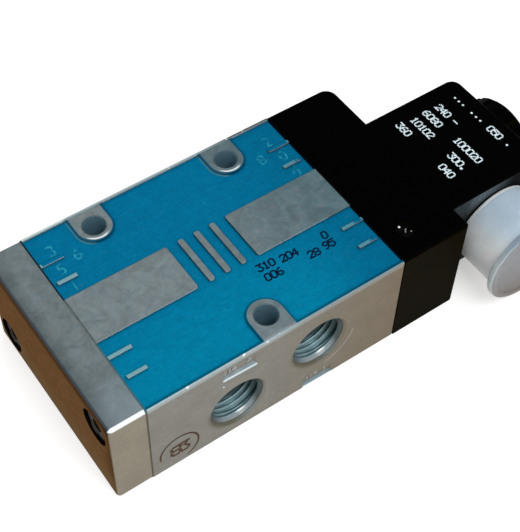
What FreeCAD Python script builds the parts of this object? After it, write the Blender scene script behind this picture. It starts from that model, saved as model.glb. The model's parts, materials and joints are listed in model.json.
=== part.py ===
import FreeCAD, Part
import math
import os
import re
import Sketcher

# A solenoid piloted 3/2-way spool valve with threaded ports.
# Frame: the origin is the middle of the valve body's underside, +Z is up, +X runs along the
# spool towards the solenoid and +Y runs away from the side that carries two ports.
# All sizes are millimetres.

SIZES = {
    # valve body
    "body_length": 64.0,
    "body_width": 51.0,
    "body_height": 27.5,
    "edge_rounding": 0.4,
    # painted recess in the top face, and the bare metal left standing in it
    "recess_depth": 0.5,
    "rim_width": 0.8,
    "pad_width": 12.8,
    "pad_length": 24.5,
    "bar_width": 1.4,
    "bar_length": 12.8,
    "bar_pitch": 4.0,
    "tick_length": 5.45,
    "tick_width": 0.8,
    "tick_setback": 0.8,
    "inner_tick_offset": 10.84,
    "outer_tick_offset": 16.71,
    "boss_width": 8.6,
    "mark_corner_rounding": 0.55,
    # through holes for M5 screws
    "mount_hole_diameter": 5.3,
    "mount_hole_inset": 5.5,
    "mount_hole_pitch": 34.2,
    # ports, G 1/4
    "port_thread_diameter": 13.157,
    "port_thread_depth": 10.0,
    "port_chamfer": 0.6,
    "port_pitch": 21.0,
    "exhaust_port_height": 10.2,
    "supply_port_height": 15.1,
    "outlet_port_height": 13.75,
    "passage_diameter": 8.0,
    "pilot_drilling_diameter": 2.0,
    # sunken fields for the port numbers, above one port and below the other
    "label_length": 8.3,
    "label_height": 3.7,
    "label_depth": 0.7,
    "label_draft": 40.0,
    "label_shift": 0.5,
    "exhaust_label_height": 23.5,
    "supply_label_height": 2.2,
    # spool, sleeve and pilot piston, all on one axis
    "axis_height": 13.75,
    "running_gap": 0.03,
    "sleeve_diameter": 17.0,
    "sleeve_bore": 10.0,
    "centre_window_width": 6.6,
    "side_window_width": 5.2,
    "window_height": 4.0,
    "window_count": 4,
    "channel_width": 7.0,
    "channel_depth": 1.4,
    "sleeve_ring_width": 1.8,
    "sleeve_ring_depth": 1.3,
    "spool_travel": 4.5,
    "spool_land_diameter": 9.7,
    "spool_neck_diameter": 6.0,
    "land_width": 2.2,
    "land_overrun": 0.8,
    "spool_ring_width": 1.0,
    "spool_ring_depth": 1.0,
    "spring_stub_diameter": 5.0,
    "spring_stub_length": 3.0,
    "piston_diameter": 20.0,
    "piston_relief": 0.1,
    "piston_length": 4.0,
    "piston_stem_diameter": 6.4,
    "piston_ring_width": 1.8,
    "piston_ring_depth": 1.6,
    "piston_end_gap": 0.3,
    "chamber_depth": 12.0,
    # end cap and its seal
    "gasket_thickness": 0.4,
    "gasket_inset": 0.2,
    "end_cap_length": 8.3,
    "end_cap_rounding": 1.0,
    "spring_pocket_diameter": 9.6,
    "spring_pocket_depth": 5.6,
    "end_cap_screw_near_inset": 6.4,
    "end_cap_screw_far_inset": 6.0,
    "end_cap_screw_high": 20.7,
    "end_cap_screw_low": 5.7,
    # return spring
    "return_spring_diameter": 8.6,
    "return_spring_wire": 1.0,
    "return_spring_turns": 6,
    # socket head screws, M4 for the cap and the cover, M3 for the pilot base
    "large_screw_diameter": 4.0,
    "large_screw_head_diameter": 7.0,
    "large_screw_head_height": 4.0,
    "large_screw_socket": 3.0,
    "large_screw_sinking": 4.6,
    "small_screw_diameter": 3.0,
    "small_screw_head_diameter": 5.5,
    "small_screw_head_height": 3.0,
    "small_screw_socket": 2.5,
    "small_screw_sinking": 3.2,
    "screw_clearance": 0.25,
    "thread_clearance": 0.03,
    "large_screw_engagement": 8.0,
    "small_screw_engagement": 5.0,
    # solenoid cover and coil housing are both moulded a little lower than the metal body
    "moulding_step": 0.1,
    # solenoid cover
    "cover_length": 18.0,
    "cover_near_corner_radius": 1.0,
    "cover_far_corner_radius": 2.8,
    "cover_edge_bevel": 0.4,
    "cover_screw_inset": 6.2,
    "cover_screw_offset": 7.4,
    # manual override in the cover's top
    "override_diameter": 4.0,
    "override_inset": 6.9,
    "override_setback": 5.4,
    "override_sinking": 0.6,
    "override_length": 6.5,
    "override_travel": 1.5,
    "override_slot_width": 0.7,
    "override_slot_depth": 0.8,
    "override_ring_width": 1.2,
    "override_ring_depth": 0.6,
    "override_spring_diameter": 3.2,
    "override_spring_wire": 0.4,
    "override_spring_length": 5.0,
    "override_spring_turns": 5,
    # coil housing, moulded over the coil and the pilot base
    "pilot_inset": 5.5,
    "pilot_width": 31.2,
    "pilot_length": 26.8,
    "pilot_corner_radius": 2.5,
    "pilot_edge_bevel": 0.4,
    "pilot_lower_bevel": 4.2,
    # pilot base, screwed to the cover inside the coil housing
    "pilot_base_length": 6.2,
    "pilot_base_near_reach": 12.8,
    "pilot_base_far_reach": 11.0,
    "pilot_base_height": 20.5,
    "pilot_base_clearance": 0.1,
    "pilot_screw_near_offset": 9.6,
    "pilot_screw_far_offset": 7.6,
    "pilot_screw_rise": 7.0,
    "armature_room_diameter": 8.8,
    "armature_room_depth": 2.8,
    "nozzle_diameter": 6.0,
    "nozzle_length": 1.5,
    "nozzle_tip_diameter": 2.6,
    "nozzle_tip_length": 1.2,
    "nozzle_orifice": 1.2,
    "feed_offset": 12.0,
    "control_offset": 4.4,
    # armature tube, core and armature
    "coil_axis_inset": 17.8,
    "armature_diameter": 8.0,
    "armature_length": 11.65,
    "armature_travel": 1.0,
    "armature_end_gap": 0.1,
    "armature_gap": 0.02,
    "seat_gap": 0.05,
    "seal_disc_diameter": 4.4,
    "seal_disc_thickness": 1.3,
    "seal_disc_proud": 0.1,
    "tube_wall": 0.45,
    "tube_flange_diameter": 14.0,
    "tube_flange_thickness": 1.2,
    "tube_ring_diameter": 12.8,
    "tube_ring_section": 1.2,
    "tube_ring_width": 1.0,
    "armature_spring_diameter": 3.2,
    "armature_spring_wire": 0.4,
    "armature_spring_turns": 5,
    "armature_bore_diameter": 3.8,
    "armature_bore_depth": 6.0,
    "core_bore_depth": 2.0,
    "stud_length": 5.3,
    # coil and its iron frame
    "coil_room_clearance": 0.4,
    "tube_clearance": 0.1,
    "yoke_thickness": 1.5,
    "yoke_width": 18.0,
    "yoke_length": 18.2,
    "yoke_clearance": 0.1,
    "bobbin_wall": 1.0,
    "bobbin_diameter": 18.4,
    "winding_thickness": 3.2,
    # coil nut
    "nut_diameter": 23.2,
    "nut_length": 5.9,
    "nut_chamfer": 0.7,
    "nut_flute_width": 2.0,
    "nut_flute_depth": 0.7,
    "nut_flute_count": 16,
    "nut_ring_diameter": 15.0,
    "nut_ring_section": 1.6,
    "nut_ring_width": 1.2,
    # connector on the coil block, and its dust cap
    "connector_setback": 13.5,
    "connector_height": 15.0,
    "shell_diameter": 19.0,
    "shell_wall": 1.4,
    "shell_seat_depth": 4.0,
    "shell_reach": 9.0,
    "insert_thickness": 3.0,
    "seal_thickness": 1.0,
    "seal_width": 1.6,
    "shell_chamfer": 0.4,
    "pin_diameter": 1.6,
    "pin_spacing": 7.1,
    "pin_point": 0.4,
    "pin_inner_length": 2.5,
    "pin_outer_length": 7.5,
    "cap_clearance": 0.06,
    "cap_wall": 0.8,
    "cap_end_wall": 1.0,
    "cap_stand_off": 0.7,
    "cap_length": 13.6,
    "cap_flange_diameter": 24.0,
    "cap_flange_thickness": 1.6,
}

# Places that follow from the driving sizes.
PLACES = {
    "body_end": "body_length / 2",
    "near_side": "0 - body_width / 2",
    "far_side": "body_width / 2",
    "recess_floor": "body_height - recess_depth",
    "near_hole_across": "near_side + mount_hole_inset",
    "far_hole_across": "far_side - mount_hole_inset",
    "port_along": "port_pitch / 2",
    "moulding_top": "body_height - moulding_step",
    "cap_start": "0 - body_end - gasket_thickness",
    "cap_end": "cap_start - end_cap_length",
    "cap_screw_near_across": "near_side + end_cap_screw_near_inset",
    "cap_screw_far_across": "far_side - end_cap_screw_far_inset",
    "cover_start": "body_end + gasket_thickness",
    "cover_end": "cover_start + cover_length",
    "cover_screw_across": "far_side - cover_screw_inset",
    "cover_screw_low": "axis_height - cover_screw_offset",
    "cover_screw_high": "axis_height + cover_screw_offset",
    "feed_across": "0 - feed_offset",
    "sleeve_radius": "sleeve_diameter / 2 - running_gap",
    "bore_radius": "sleeve_bore / 2",
    "channel_radius": "sleeve_radius - channel_depth",
    "sleeve_ring_floor": "sleeve_radius - sleeve_ring_depth",
    "outer_ring_along": "port_along + channel_width / 2 + sleeve_ring_width",
    "inner_ring_along": "port_along / 2",
    "seal_wall_along": "(centre_window_width / 2 + port_along - side_window_width / 2) / 2",
    "end_land_along": "port_along + side_window_width / 2 + land_width / 2 + land_overrun",
    "left_end_land": "0 - end_land_along",
    "left_inner_land": "spool_travel - seal_wall_along",
    "right_end_land": "end_land_along + spool_travel",
    "land_radius": "spool_land_diameter / 2",
    "spool_ring_floor": "land_radius - spool_ring_depth",
    "spring_seat": "left_end_land - land_width / 2",
    "stub_end": "spring_seat - spring_stub_length",
    "spring_bottom": "cap_start - spring_pocket_depth",
    "spool_end": "right_end_land + land_width / 2",
    "chamber_end": "cover_start + chamber_depth",
    "piston_face": "chamber_end - piston_end_gap",
    "piston_back": "piston_face - piston_length",
    "piston_middle": "piston_face - piston_length / 2",
    "piston_radius": "piston_diameter / 2 - piston_relief",
    "piston_ring_floor": "piston_radius - piston_ring_depth",
    "override_along": "cover_start + override_setback",
    "override_across": "near_side + override_inset",
    "override_radius": "override_diameter / 2",
    "override_top": "moulding_top - override_sinking",
    "override_bottom": "override_top - override_length",
    "override_middle": "override_top - override_length / 2",
    "override_ring_floor": "override_radius - override_ring_depth",
    "override_floor": "override_bottom - override_spring_length",
    "pilot_end": "cover_end + pilot_length",
    "pilot_near": "near_side + pilot_inset",
    "pilot_far": "pilot_near + pilot_width",
    "coil_axis": "pilot_near + coil_axis_inset",
    "base_start": "cover_end + gasket_thickness",
    "base_end": "base_start + pilot_base_length",
    "base_near": "coil_axis - pilot_base_near_reach",
    "base_far": "coil_axis + pilot_base_far_reach",
    "base_bottom": "axis_height - pilot_base_height / 2",
    "base_top": "axis_height + pilot_base_height / 2",
    "pilot_screw_near": "coil_axis - pilot_screw_near_offset",
    "pilot_screw_far": "coil_axis + pilot_screw_far_offset",
    "pilot_screw_low": "axis_height - pilot_screw_rise",
    "pilot_screw_high": "axis_height + pilot_screw_rise",
    "control_across": "coil_axis + control_offset",
    "flange_start": "base_end - tube_flange_thickness",
    "room_start": "flange_start - armature_room_depth",
    "nozzle_start": "room_start - nozzle_length",
    "nozzle_tip": "room_start + nozzle_tip_length",
    "armature_start": "nozzle_tip + seat_gap + seal_disc_proud",
    "armature_end": "armature_start + armature_length",
    "armature_bore_bottom": "armature_end - armature_bore_depth",
    "disc_seat": "armature_start + seal_disc_thickness - seal_disc_proud",
    "core_start": "armature_end + armature_travel + armature_end_gap",
    "core_bore_bottom": "core_start + core_bore_depth",
    "core_radius": "armature_diameter / 2",
    "tube_bore": "core_radius + armature_gap",
    "tube_radius": "tube_bore + tube_wall",
    "stud_end": "pilot_end + stud_length",
    "yoke_start": "base_end + yoke_clearance",
    "yoke_end": "yoke_start + yoke_length",
    "coil_room_end": "yoke_end + coil_room_clearance",
    "coil_room_near": "bobbin_diameter / 2 + coil_room_clearance",
    "yoke_inside": "bobbin_diameter / 2 + yoke_clearance",
    "coil_room_far": "yoke_inside + yoke_thickness + coil_room_clearance",
    "coil_room_half": "max(yoke_width; bobbin_diameter) / 2 + coil_room_clearance",
    "bobbin_start": "yoke_start + yoke_thickness + yoke_clearance",
    "bobbin_end": "yoke_end - yoke_thickness - yoke_clearance",
    "bobbin_bore": "tube_radius + tube_clearance",
    "barrel_radius": "bobbin_bore + bobbin_wall",
    "nut_end": "pilot_end + nut_length",
    "nut_radius": "nut_diameter / 2",
    "connector_along": "pilot_end - connector_setback",
    "shell_start": "pilot_near + shell_seat_depth",
    "shell_end": "pilot_near - shell_reach",
    "shell_radius": "shell_diameter / 2",
    "shell_bore": "shell_radius - shell_wall",
    "insert_face": "shell_start - insert_thickness",
    "pin_start": "shell_start + pin_inner_length",
    "pin_end": "insert_face - pin_outer_length",
    "pin_radius": "pin_diameter / 2",
    "cap_bore": "shell_radius + cap_clearance",
    "cap_radius": "cap_bore + cap_wall",
    "cap_mouth": "pilot_near - cap_stand_off",
    "cap_back": "cap_mouth - cap_length",
    "cap_flange_start": "cap_back + cap_flange_thickness",
}

doc = FreeCAD.newDocument("solenoid_valve")
sheet = doc.addObject("Spreadsheet::Sheet", "Sizes")
for row, (size_name, size_value) in enumerate(SIZES.items(), start=1):
    sheet.set(f"A{row}", size_name)
    sheet.set(f"B{row}", str(size_value))
    sheet.setAlias(f"B{row}", size_name)
doc.recompute()


def words(text):
    """Spell an expression out: places become their formulas and sizes become sheet cells."""
    def spell(match):
        word = match.group()
        if word in PLACES:
            return "(" + words(PLACES[word]) + ")"
        return "Sizes." + word if word in SIZES else word
    return re.sub(r"[a-z][a-z_]*", spell, text)


def number(text):
    """The value of an expression."""
    return float(sheet.evalExpression(words(text)))


def bind(thing, prop, text):
    """Tie a property of an object to an expression."""
    thing.setExpression(prop, words(text))


# ---------------------------------------------------------------- sketches

def origin_plane(body, role):
    """One of the body's own origin planes or axes."""
    return next(item for item in body.Origin.OriginFeatures if item.Role == role)


def sketch_on(body, name, plane, shift=("0", "0", "0")):
    """An empty sketch on an origin plane, shifted by three expressions in the sketch's own axes."""
    sketch = body.newObject("Sketcher::SketchObject", name)
    sketch.AttachmentSupport = [(origin_plane(body, plane), "")]
    sketch.MapMode = "FlatFace"
    for axis, text in zip("xyz", shift):
        bind(sketch, f"AttachmentOffset.Base.{axis}", text)
    return sketch


def pin_point(sketch, curve, point, where):
    """Hold a point of a curve at two expressions measured from the sketch's origin."""
    for kind, text in zip(("DistanceX", "DistanceY"), where):
        held = sketch.addConstraint(Sketcher.Constraint(kind, -1, 1, curve, point, number(text)))
        bind(sketch, f"Constraints[{held}]", text)


def draw_polygon(sketch, corners):
    """A closed outline of straight lines through corners given as pairs of expressions."""
    first = sketch.GeometryCount
    points = [FreeCAD.Vector(number(across), number(up), 0) for across, up in corners]
    for index, point in enumerate(points):
        following = points[(index + 1) % len(points)]
        sketch.addGeometry(Part.LineSegment(point, following), False)
    for index, corner in enumerate(corners):
        following = (index + 1) % len(corners)
        joint = Sketcher.Constraint("Coincident", first + index, 2, first + following, 1)
        sketch.addConstraint(joint)
        pin_point(sketch, first + index, 1, corner)


def draw_rectangle(sketch, left, right, bottom, top):
    """A rectangle between four expressions."""
    draw_polygon(sketch, [(left, bottom), (right, bottom), (right, top), (left, top)])


def draw_circle(sketch, across, up, radius):
    """A circle whose centre and radius are expressions."""
    centre = FreeCAD.Vector(number(across), number(up), 0)
    circle = Part.Circle(centre, FreeCAD.Vector(0, 0, 1), number(radius))
    curve = sketch.addGeometry(circle, False)
    pin_point(sketch, curve, 3, (across, up))
    held = sketch.addConstraint(Sketcher.Constraint("Radius", curve, number(radius)))
    bind(sketch, f"Constraints[{held}]", radius)


def draw_tongue(sketch, middle, edge, tip, half_width, side):
    """A tongue from a straight edge to a round tip, pointing to -1 or +1 along the sketch's y."""
    x, half = number(middle), number(half_width)
    y_edge, y_tip = number(edge), number(tip)
    left, right = x - half, x + half
    first = sketch.GeometryCount
    corners = [(left, y_tip), (left, y_edge), (right, y_edge), (right, y_tip)]
    for start, end in zip(corners, corners[1:]):
        line = Part.LineSegment(FreeCAD.Vector(*start, 0), FreeCAD.Vector(*end, 0))
        sketch.addGeometry(line, False)
    circle = Part.Circle(FreeCAD.Vector(x, y_tip, 0), FreeCAD.Vector(0, 0, 1), half)
    angles = (0, math.pi) if side > 0 else (math.pi, math.tau)
    arc = sketch.addGeometry(Part.ArcOfCircle(circle, *angles), False)
    arc_right, arc_left = (1, 2) if side > 0 else (2, 1)
    for joint in (
        ("Coincident", first, 2, first + 1, 1),
        ("Coincident", first + 1, 2, first + 2, 1),
        ("Tangent", first + 2, 2, arc, arc_right),
        ("Tangent", first, 1, arc, arc_left),
        ("Horizontal", first + 1),
        ("Vertical", first),
        ("Vertical", first + 2),
    ):
        sketch.addConstraint(Sketcher.Constraint(*joint))
    pin_point(sketch, arc, 3, (middle, tip))
    held = sketch.addConstraint(Sketcher.Constraint("DistanceY", -1, 1, first + 1, 1, y_edge))
    bind(sketch, f"Constraints[{held}]", edge)
    held = sketch.addConstraint(Sketcher.Constraint("Radius", arc, half))
    bind(sketch, f"Constraints[{held}]", half_width)


# ---------------------------------------------------------------- features

def new_body(name):
    """A PartDesign body that becomes one sub-part."""
    body = doc.addObject("PartDesign::Body", name)
    body.Label = name
    return body


def pad(body, name, sketch, length):
    """Add material along the sketch's normal."""
    feature = body.newObject("PartDesign::Pad", name)
    feature.Profile = sketch
    bind(feature, "Length", length)
    sketch.Visibility = False
    return feature


def pocket(body, name, sketch, depth, towards_normal=False):
    """Cut against the sketch's normal, or along it."""
    doc.recompute()
    before = body.Tip.Shape.Volume
    feature = body.newObject("PartDesign::Pocket", name)
    feature.Profile = sketch
    feature.Reversed = towards_normal
    bind(feature, "Length", depth)
    check_cut(body, feature, before)
    return feature


def revolve(body, name, sketch, axis="H_Axis"):
    """Turn a profile about one of the sketch's own axes."""
    feature = body.newObject("PartDesign::Revolution", name)
    feature.Profile = sketch
    feature.ReferenceAxis = (sketch, [axis])
    feature.Angle = 360
    return feature


def groove(body, name, sketch, axis="H_Axis"):
    """Turn a profile away about one of the sketch's own axes."""
    doc.recompute()
    before = body.Tip.Shape.Volume
    feature = body.newObject("PartDesign::Groove", name)
    feature.Profile = sketch
    feature.ReferenceAxis = (sketch, [axis])
    feature.Angle = 360
    check_cut(body, feature, before)
    return feature


def check_cut(body, feature, before):
    """A cut that points away from the solid takes nothing off and shows no error."""
    doc.recompute()
    if body.Tip.Shape.Volume >= before - 1e-6:
        raise RuntimeError(f"{feature.Name} cuts nothing")


def repeat_round(body, name, features, axis, count):
    """A polar pattern of features about one of the body's origin axes."""
    pattern = body.newObject("PartDesign::PolarPattern", name)
    pattern.Originals = features
    pattern.Axis = (origin_plane(body, axis), [""])
    pattern.Angle = 360
    bind(pattern, "Occurrences", count)
    body.Tip = pattern
    return pattern


def repeat_mirrored(body, name, features, plane):
    """A mirror image of features in one of the body's origin planes."""
    mirror = body.newObject("PartDesign::Mirrored", name)
    mirror.Originals = features
    mirror.MirrorPlane = (origin_plane(body, plane), [""])
    body.Tip = mirror
    return mirror


def straight_edges(shape, direction, **where):
    """Names of the straight edges along a direction whose middles have the given coordinates."""
    names = []
    for index, edge in enumerate(shape.Edges, start=1):
        run = edge.Vertexes[-1].Point - edge.Vertexes[0].Point
        straight = isinstance(edge.Curve, Part.Line)
        if not straight or abs(run.dot(direction)) < 0.999 * run.Length:
            continue
        middle = edge.CenterOfMass
        if all(abs(getattr(middle, axis) - place) < 1e-4 for axis, place in where.items()):
            names.append(f"Edge{index}")
    return names


def dressed(body, kind, name, edge_sets):
    """A fillet or chamfer on the straight edges that (direction, coordinates) pairs pick out."""
    doc.recompute()
    base = body.Tip
    names = []
    for direction, where in edge_sets:
        names += straight_edges(base.Shape, direction, **where)
    feature = body.newObject(f"PartDesign::{kind}", name)
    feature.Base = (base, sorted(set(names)))
    return feature


def rounded(body, name, radius, edge_sets):
    """Round straight edges, and those that they run on into smoothly."""
    feature = dressed(body, "Fillet", name, edge_sets)
    bind(feature, "Radius", radius)
    return feature


def chamfered(body, name, size, edge_sets):
    """Bevel straight edges, and those that they run on into smoothly."""
    feature = dressed(body, "Chamfer", name, edge_sets)
    bind(feature, "Size", size)
    return feature


ALONG = FreeCAD.Vector(1, 0, 0)
ACROSS = FreeCAD.Vector(0, 1, 0)
UP = FreeCAD.Vector(0, 0, 1)


def place(thing, along="0", across="0", up="0"):
    """Set where a sub-part stands."""
    for axis, text in zip("xyz", (along, across, up)):
        bind(thing, f"Placement.Base.{axis}", text)
    return thing


def turned_along(name, profile):
    """A body turned about the X direction from (along, radius) corners."""
    body = new_body(name)
    sketch = sketch_on(body, f"{name}_profile", "XY_Plane")
    draw_polygon(sketch, profile)
    revolve(body, f"{name}_turned", sketch, "H_Axis")
    return body


def turned_across(name, profile):
    """A body turned about the Y direction from (across, radius) corners."""
    body = new_body(name)
    sketch = sketch_on(body, f"{name}_profile", "XY_Plane")
    draw_polygon(sketch, [(radius, across) for across, radius in profile])
    revolve(body, f"{name}_turned", sketch, "V_Axis")
    return body


def turned_up(name, profile):
    """A body turned about the Z direction from (up, radius) corners."""
    body = new_body(name)
    sketch = sketch_on(body, f"{name}_profile", "XZ_Plane")
    draw_polygon(sketch, [(radius, up) for up, radius in profile])
    revolve(body, f"{name}_turned", sketch, "V_Axis")
    return body


def bore_along(body, name, across, up, profile):
    """Cut a stepped round hole along X at (across, up) from (along, radius) corners."""
    sketch = sketch_on(body, f"{name}_profile", "XY_Plane", ("0", across, up))
    draw_polygon(sketch, profile)
    return groove(body, name, sketch, "H_Axis")


def bore_across(body, name, along, up, profile):
    """Cut a stepped round hole along Y at (along, up) from (across, radius) corners."""
    sketch = sketch_on(body, f"{name}_profile", "XY_Plane", (along, "0", up))
    draw_polygon(sketch, [(radius, across) for across, radius in profile])
    return groove(body, name, sketch, "V_Axis")


def bore_up(body, name, along, across, profile):
    """Cut a stepped round hole along Z at (along, across) from (up, radius) corners."""
    sketch = sketch_on(body, f"{name}_profile", "XZ_Plane", (along, "0", f"0 - ({across})"))
    draw_polygon(sketch, [(radius, up) for up, radius in profile])
    return groove(body, name, sketch, "V_Axis")


def steps(start, *levels):
    """The half profile of a stepped hole or shaft: a start, then (radius, end) for each step."""
    corners = [(start, "0")]
    at = start
    for radius, end in levels:
        corners += [(at, radius), (end, radius)]
        at = end
    return corners + [(at, "0")]


def tube(start, end, inner, outer):
    """The half profile of a plain ring."""
    return [(start, inner), (start, outer), (end, outer), (end, inner)]


def notched(start, end, radius, notches):
    """Corners along a shaft's or bore's line with (middle, width, floor radius) notches in it."""
    corners = [(start, radius)]
    for middle, width, floor in notches:
        left, right = f"{middle} - {width} / 2", f"{middle} + {width} / 2"
        corners += [(left, radius), (left, floor), (right, floor), (right, radius)]
    return corners + [(end, radius)]


def ring_between(name, middle, width, inner, outer):
    """A plain ring along X whose middle is given."""
    return turned_along(name, tube(
        f"{middle} - {width} / 2", f"{middle} + {width} / 2", inner, outer))


def group(name, members):
    """Several equal pieces under one name."""
    compound = doc.addObject("Part::Compound", name)
    compound.Label = name
    compound.Links = members
    return compound


# ---------------------------------------------------------------- valve body and its ends

def port_profile(face, inward):
    """The half profile of a port: chamfer, thread core and the passage down to the sleeve."""
    outward = "-" if inward == "+" else "+"
    thread, passage = "port_thread_diameter / 2", "passage_diameter / 2"
    thread_end = f"{face} {inward} port_thread_depth"
    passage_end = f"0 {outward} sleeve_diameter / 4"
    return [
        (face, "0"), (face, f"{thread} + port_chamfer"), (f"{face} {inward} port_chamfer", thread),
        (thread_end, thread), (thread_end, passage), (passage_end, passage), (passage_end, "0")]


def make_valve_body():
    body = new_body("valve_body")
    block = sketch_on(body, "block_outline", "XY_Plane")
    draw_rectangle(block, "0 - body_end", "body_end", "near_side", "far_side")
    pad(body, "block", block, "body_height")
    sides = (number("near_side"), number("far_side"))
    levels = (0.0, number("body_height"))
    rounded(body, "long_edges", "edge_rounding", [
        (ALONG, {"y": side, "z": level}) for side in sides for level in levels])

    recess = sketch_on(body, "recess_outline", "XY_Plane", ("0", "0", "body_height"))
    draw_rectangle(
        recess, "0 - body_end", "body_end", "near_side + rim_width", "far_side - rim_width")
    pocket(body, "paint_recess", recess, "recess_depth")
    add_end_marks(body)
    add_middle_marks(body)
    round_marks(body)
    sink_labels(body)

    bore_along(body, "sleeve_seat", "0", "axis_height", steps(
        "0 - body_end", ("sleeve_diameter / 2", "body_end")))
    for name, along, height, face, inward in (
        ("exhaust_port", "0 - port_along", "exhaust_port_height", "near_side", "+"),
        ("supply_port", "port_along", "supply_port_height", "near_side", "+"),
        ("outlet_port", "0", "outlet_port_height", "far_side", "-"),
    ):
        bore_across(body, name, along, height, port_profile(face, inward))
    bore_along(body, "feed_drilling", "feed_across", "supply_port_height", steps(
        "port_along", ("pilot_drilling_diameter / 2", "body_end")))

    hole = steps("0", ("mount_hole_diameter / 2", "body_height"))
    bore_up(body, "near_mount_hole", "0", "near_hole_across", hole)
    for name, side in (("left", "-"), ("right", "+")):
        bore_up(
            body, f"{name}_mount_hole", f"0 {side} mount_hole_pitch / 2", "far_hole_across", hole)

    thread = "large_screw_diameter / 2 + thread_clearance"
    reach = "large_screw_engagement + thread_clearance"
    for index, (across, up) in enumerate(CAP_SCREWS):
        bore_along(body, f"cap_screw_thread_{index}", across, up, steps(
            "0 - body_end", (thread, f"{reach} - body_end")))
    for index, (across, up) in enumerate(COVER_SCREWS):
        bore_along(body, f"cover_screw_thread_{index}", across, up, steps(
            "body_end", (thread, f"body_end - ({reach})")))
    return body


def add_end_marks(body):
    """The bare pad, ticks and hole boss at one end of the painted recess, and their mirror image."""
    marks = sketch_on(body, "end_marks_outline", "XY_Plane", ("0", "0", "recess_floor"))
    draw_rectangle(
        marks, "0 - body_end", "pad_length - body_end", "0 - pad_width / 2", "pad_width / 2")
    for middle, gap in (
        ("outer_tick_offset", "0"),
        ("inner_tick_offset", "tick_setback"),
        ("0 - inner_tick_offset", "0"),
        ("0 - outer_tick_offset", "tick_setback"),
    ):
        draw_rectangle(
            marks, f"{gap} - body_end", "tick_length - body_end",
            f"{middle} - tick_width / 2", f"{middle} + tick_width / 2")
    draw_tongue(
        marks, "0 - mount_hole_pitch / 2", "far_side - rim_width", "far_hole_across",
        "boss_width / 2", -1)
    end_marks = pad(body, "end_marks", marks, "recess_depth")
    repeat_mirrored(body, "end_marks_mirrored", [end_marks], "YZ_Plane")


def add_middle_marks(body):
    """The three bars and the near hole's boss in the middle of the painted recess."""
    marks = sketch_on(body, "middle_marks_outline", "XY_Plane", ("0", "0", "recess_floor"))
    for middle in ("0 - bar_pitch", "0", "bar_pitch"):
        draw_rectangle(
            marks, f"{middle} - bar_width / 2", f"{middle} + bar_width / 2",
            "0 - bar_length / 2", "bar_length / 2")
    draw_tongue(marks, "0", "near_side + rim_width", "near_hole_across", "boss_width / 2", 1)
    pad(body, "middle_marks", marks, "recess_depth")


def round_marks(body):
    """Round the upright corners of the bars and of the pads' inner ends."""
    width, reach = number("bar_width") / 2, number("pad_width") / 2
    inner_end = number("body_end - pad_length")
    corners = [(side * inner_end, reach) for side in (-1, 1)]
    for middle in (-number("bar_pitch"), 0, number("bar_pitch")):
        corners += [(middle + side * width, number("bar_length") / 2) for side in (-1, 1)]
    height = number("(recess_floor + body_height) / 2")
    rounded(body, "mark_corners", "mark_corner_rounding", [
        (UP, {"x": along, "y": side * across, "z": height})
        for along, across in corners for side in (-1, 1)])


def sink_labels(body):
    """The drafted fields beside the two near ports."""
    fields = sketch_on(body, "label_outline", "XZ_Plane", ("0", "0", "0 - near_side"))
    for middle, up in (
        ("label_shift - port_along", "exhaust_label_height"),
        ("label_shift / 2 + port_along", "supply_label_height"),
    ):
        draw_rectangle(
            fields, f"{middle} - label_length / 2", f"{middle} + label_length / 2",
            f"{up} - label_height / 2", f"{up} + label_height / 2")
    field = pocket(body, "labels", fields, "label_depth")
    bind(field, "TaperAngle", "0 - label_draft")


def make_end_cap():
    body = new_body("end_cap")
    outline = sketch_on(body, "cap_outline", "YZ_Plane", ("0", "0", "cap_end"))
    draw_rectangle(outline, "near_side", "far_side", "0", "body_height")
    pad(body, "cap_block", outline, "end_cap_length")
    face = number("cap_end")
    sides = (number("near_side"), number("far_side"))
    levels = (0.0, number("body_height"))
    rounded(body, "cap_edges", "end_cap_rounding",
            [(ALONG, {"y": side, "z": level}) for side in sides for level in levels]
            + [(UP, {"x": face, "y": side}) for side in sides]
            + [(ACROSS, {"x": face, "z": level}) for level in levels])
    bore_along(body, "spring_pocket", "0", "axis_height", steps(
        "spring_bottom", ("spring_pocket_diameter / 2", "cap_start")))
    for index, (across, up) in enumerate(CAP_SCREWS):
        bore_along(body, f"screw_seat_{index}", across, up, steps(
            "cap_end",
            ("large_screw_head_diameter / 2 + screw_clearance * 2", "cap_end + large_screw_sinking"),
            ("large_screw_diameter / 2 + screw_clearance", "cap_start")))
    return body


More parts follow.
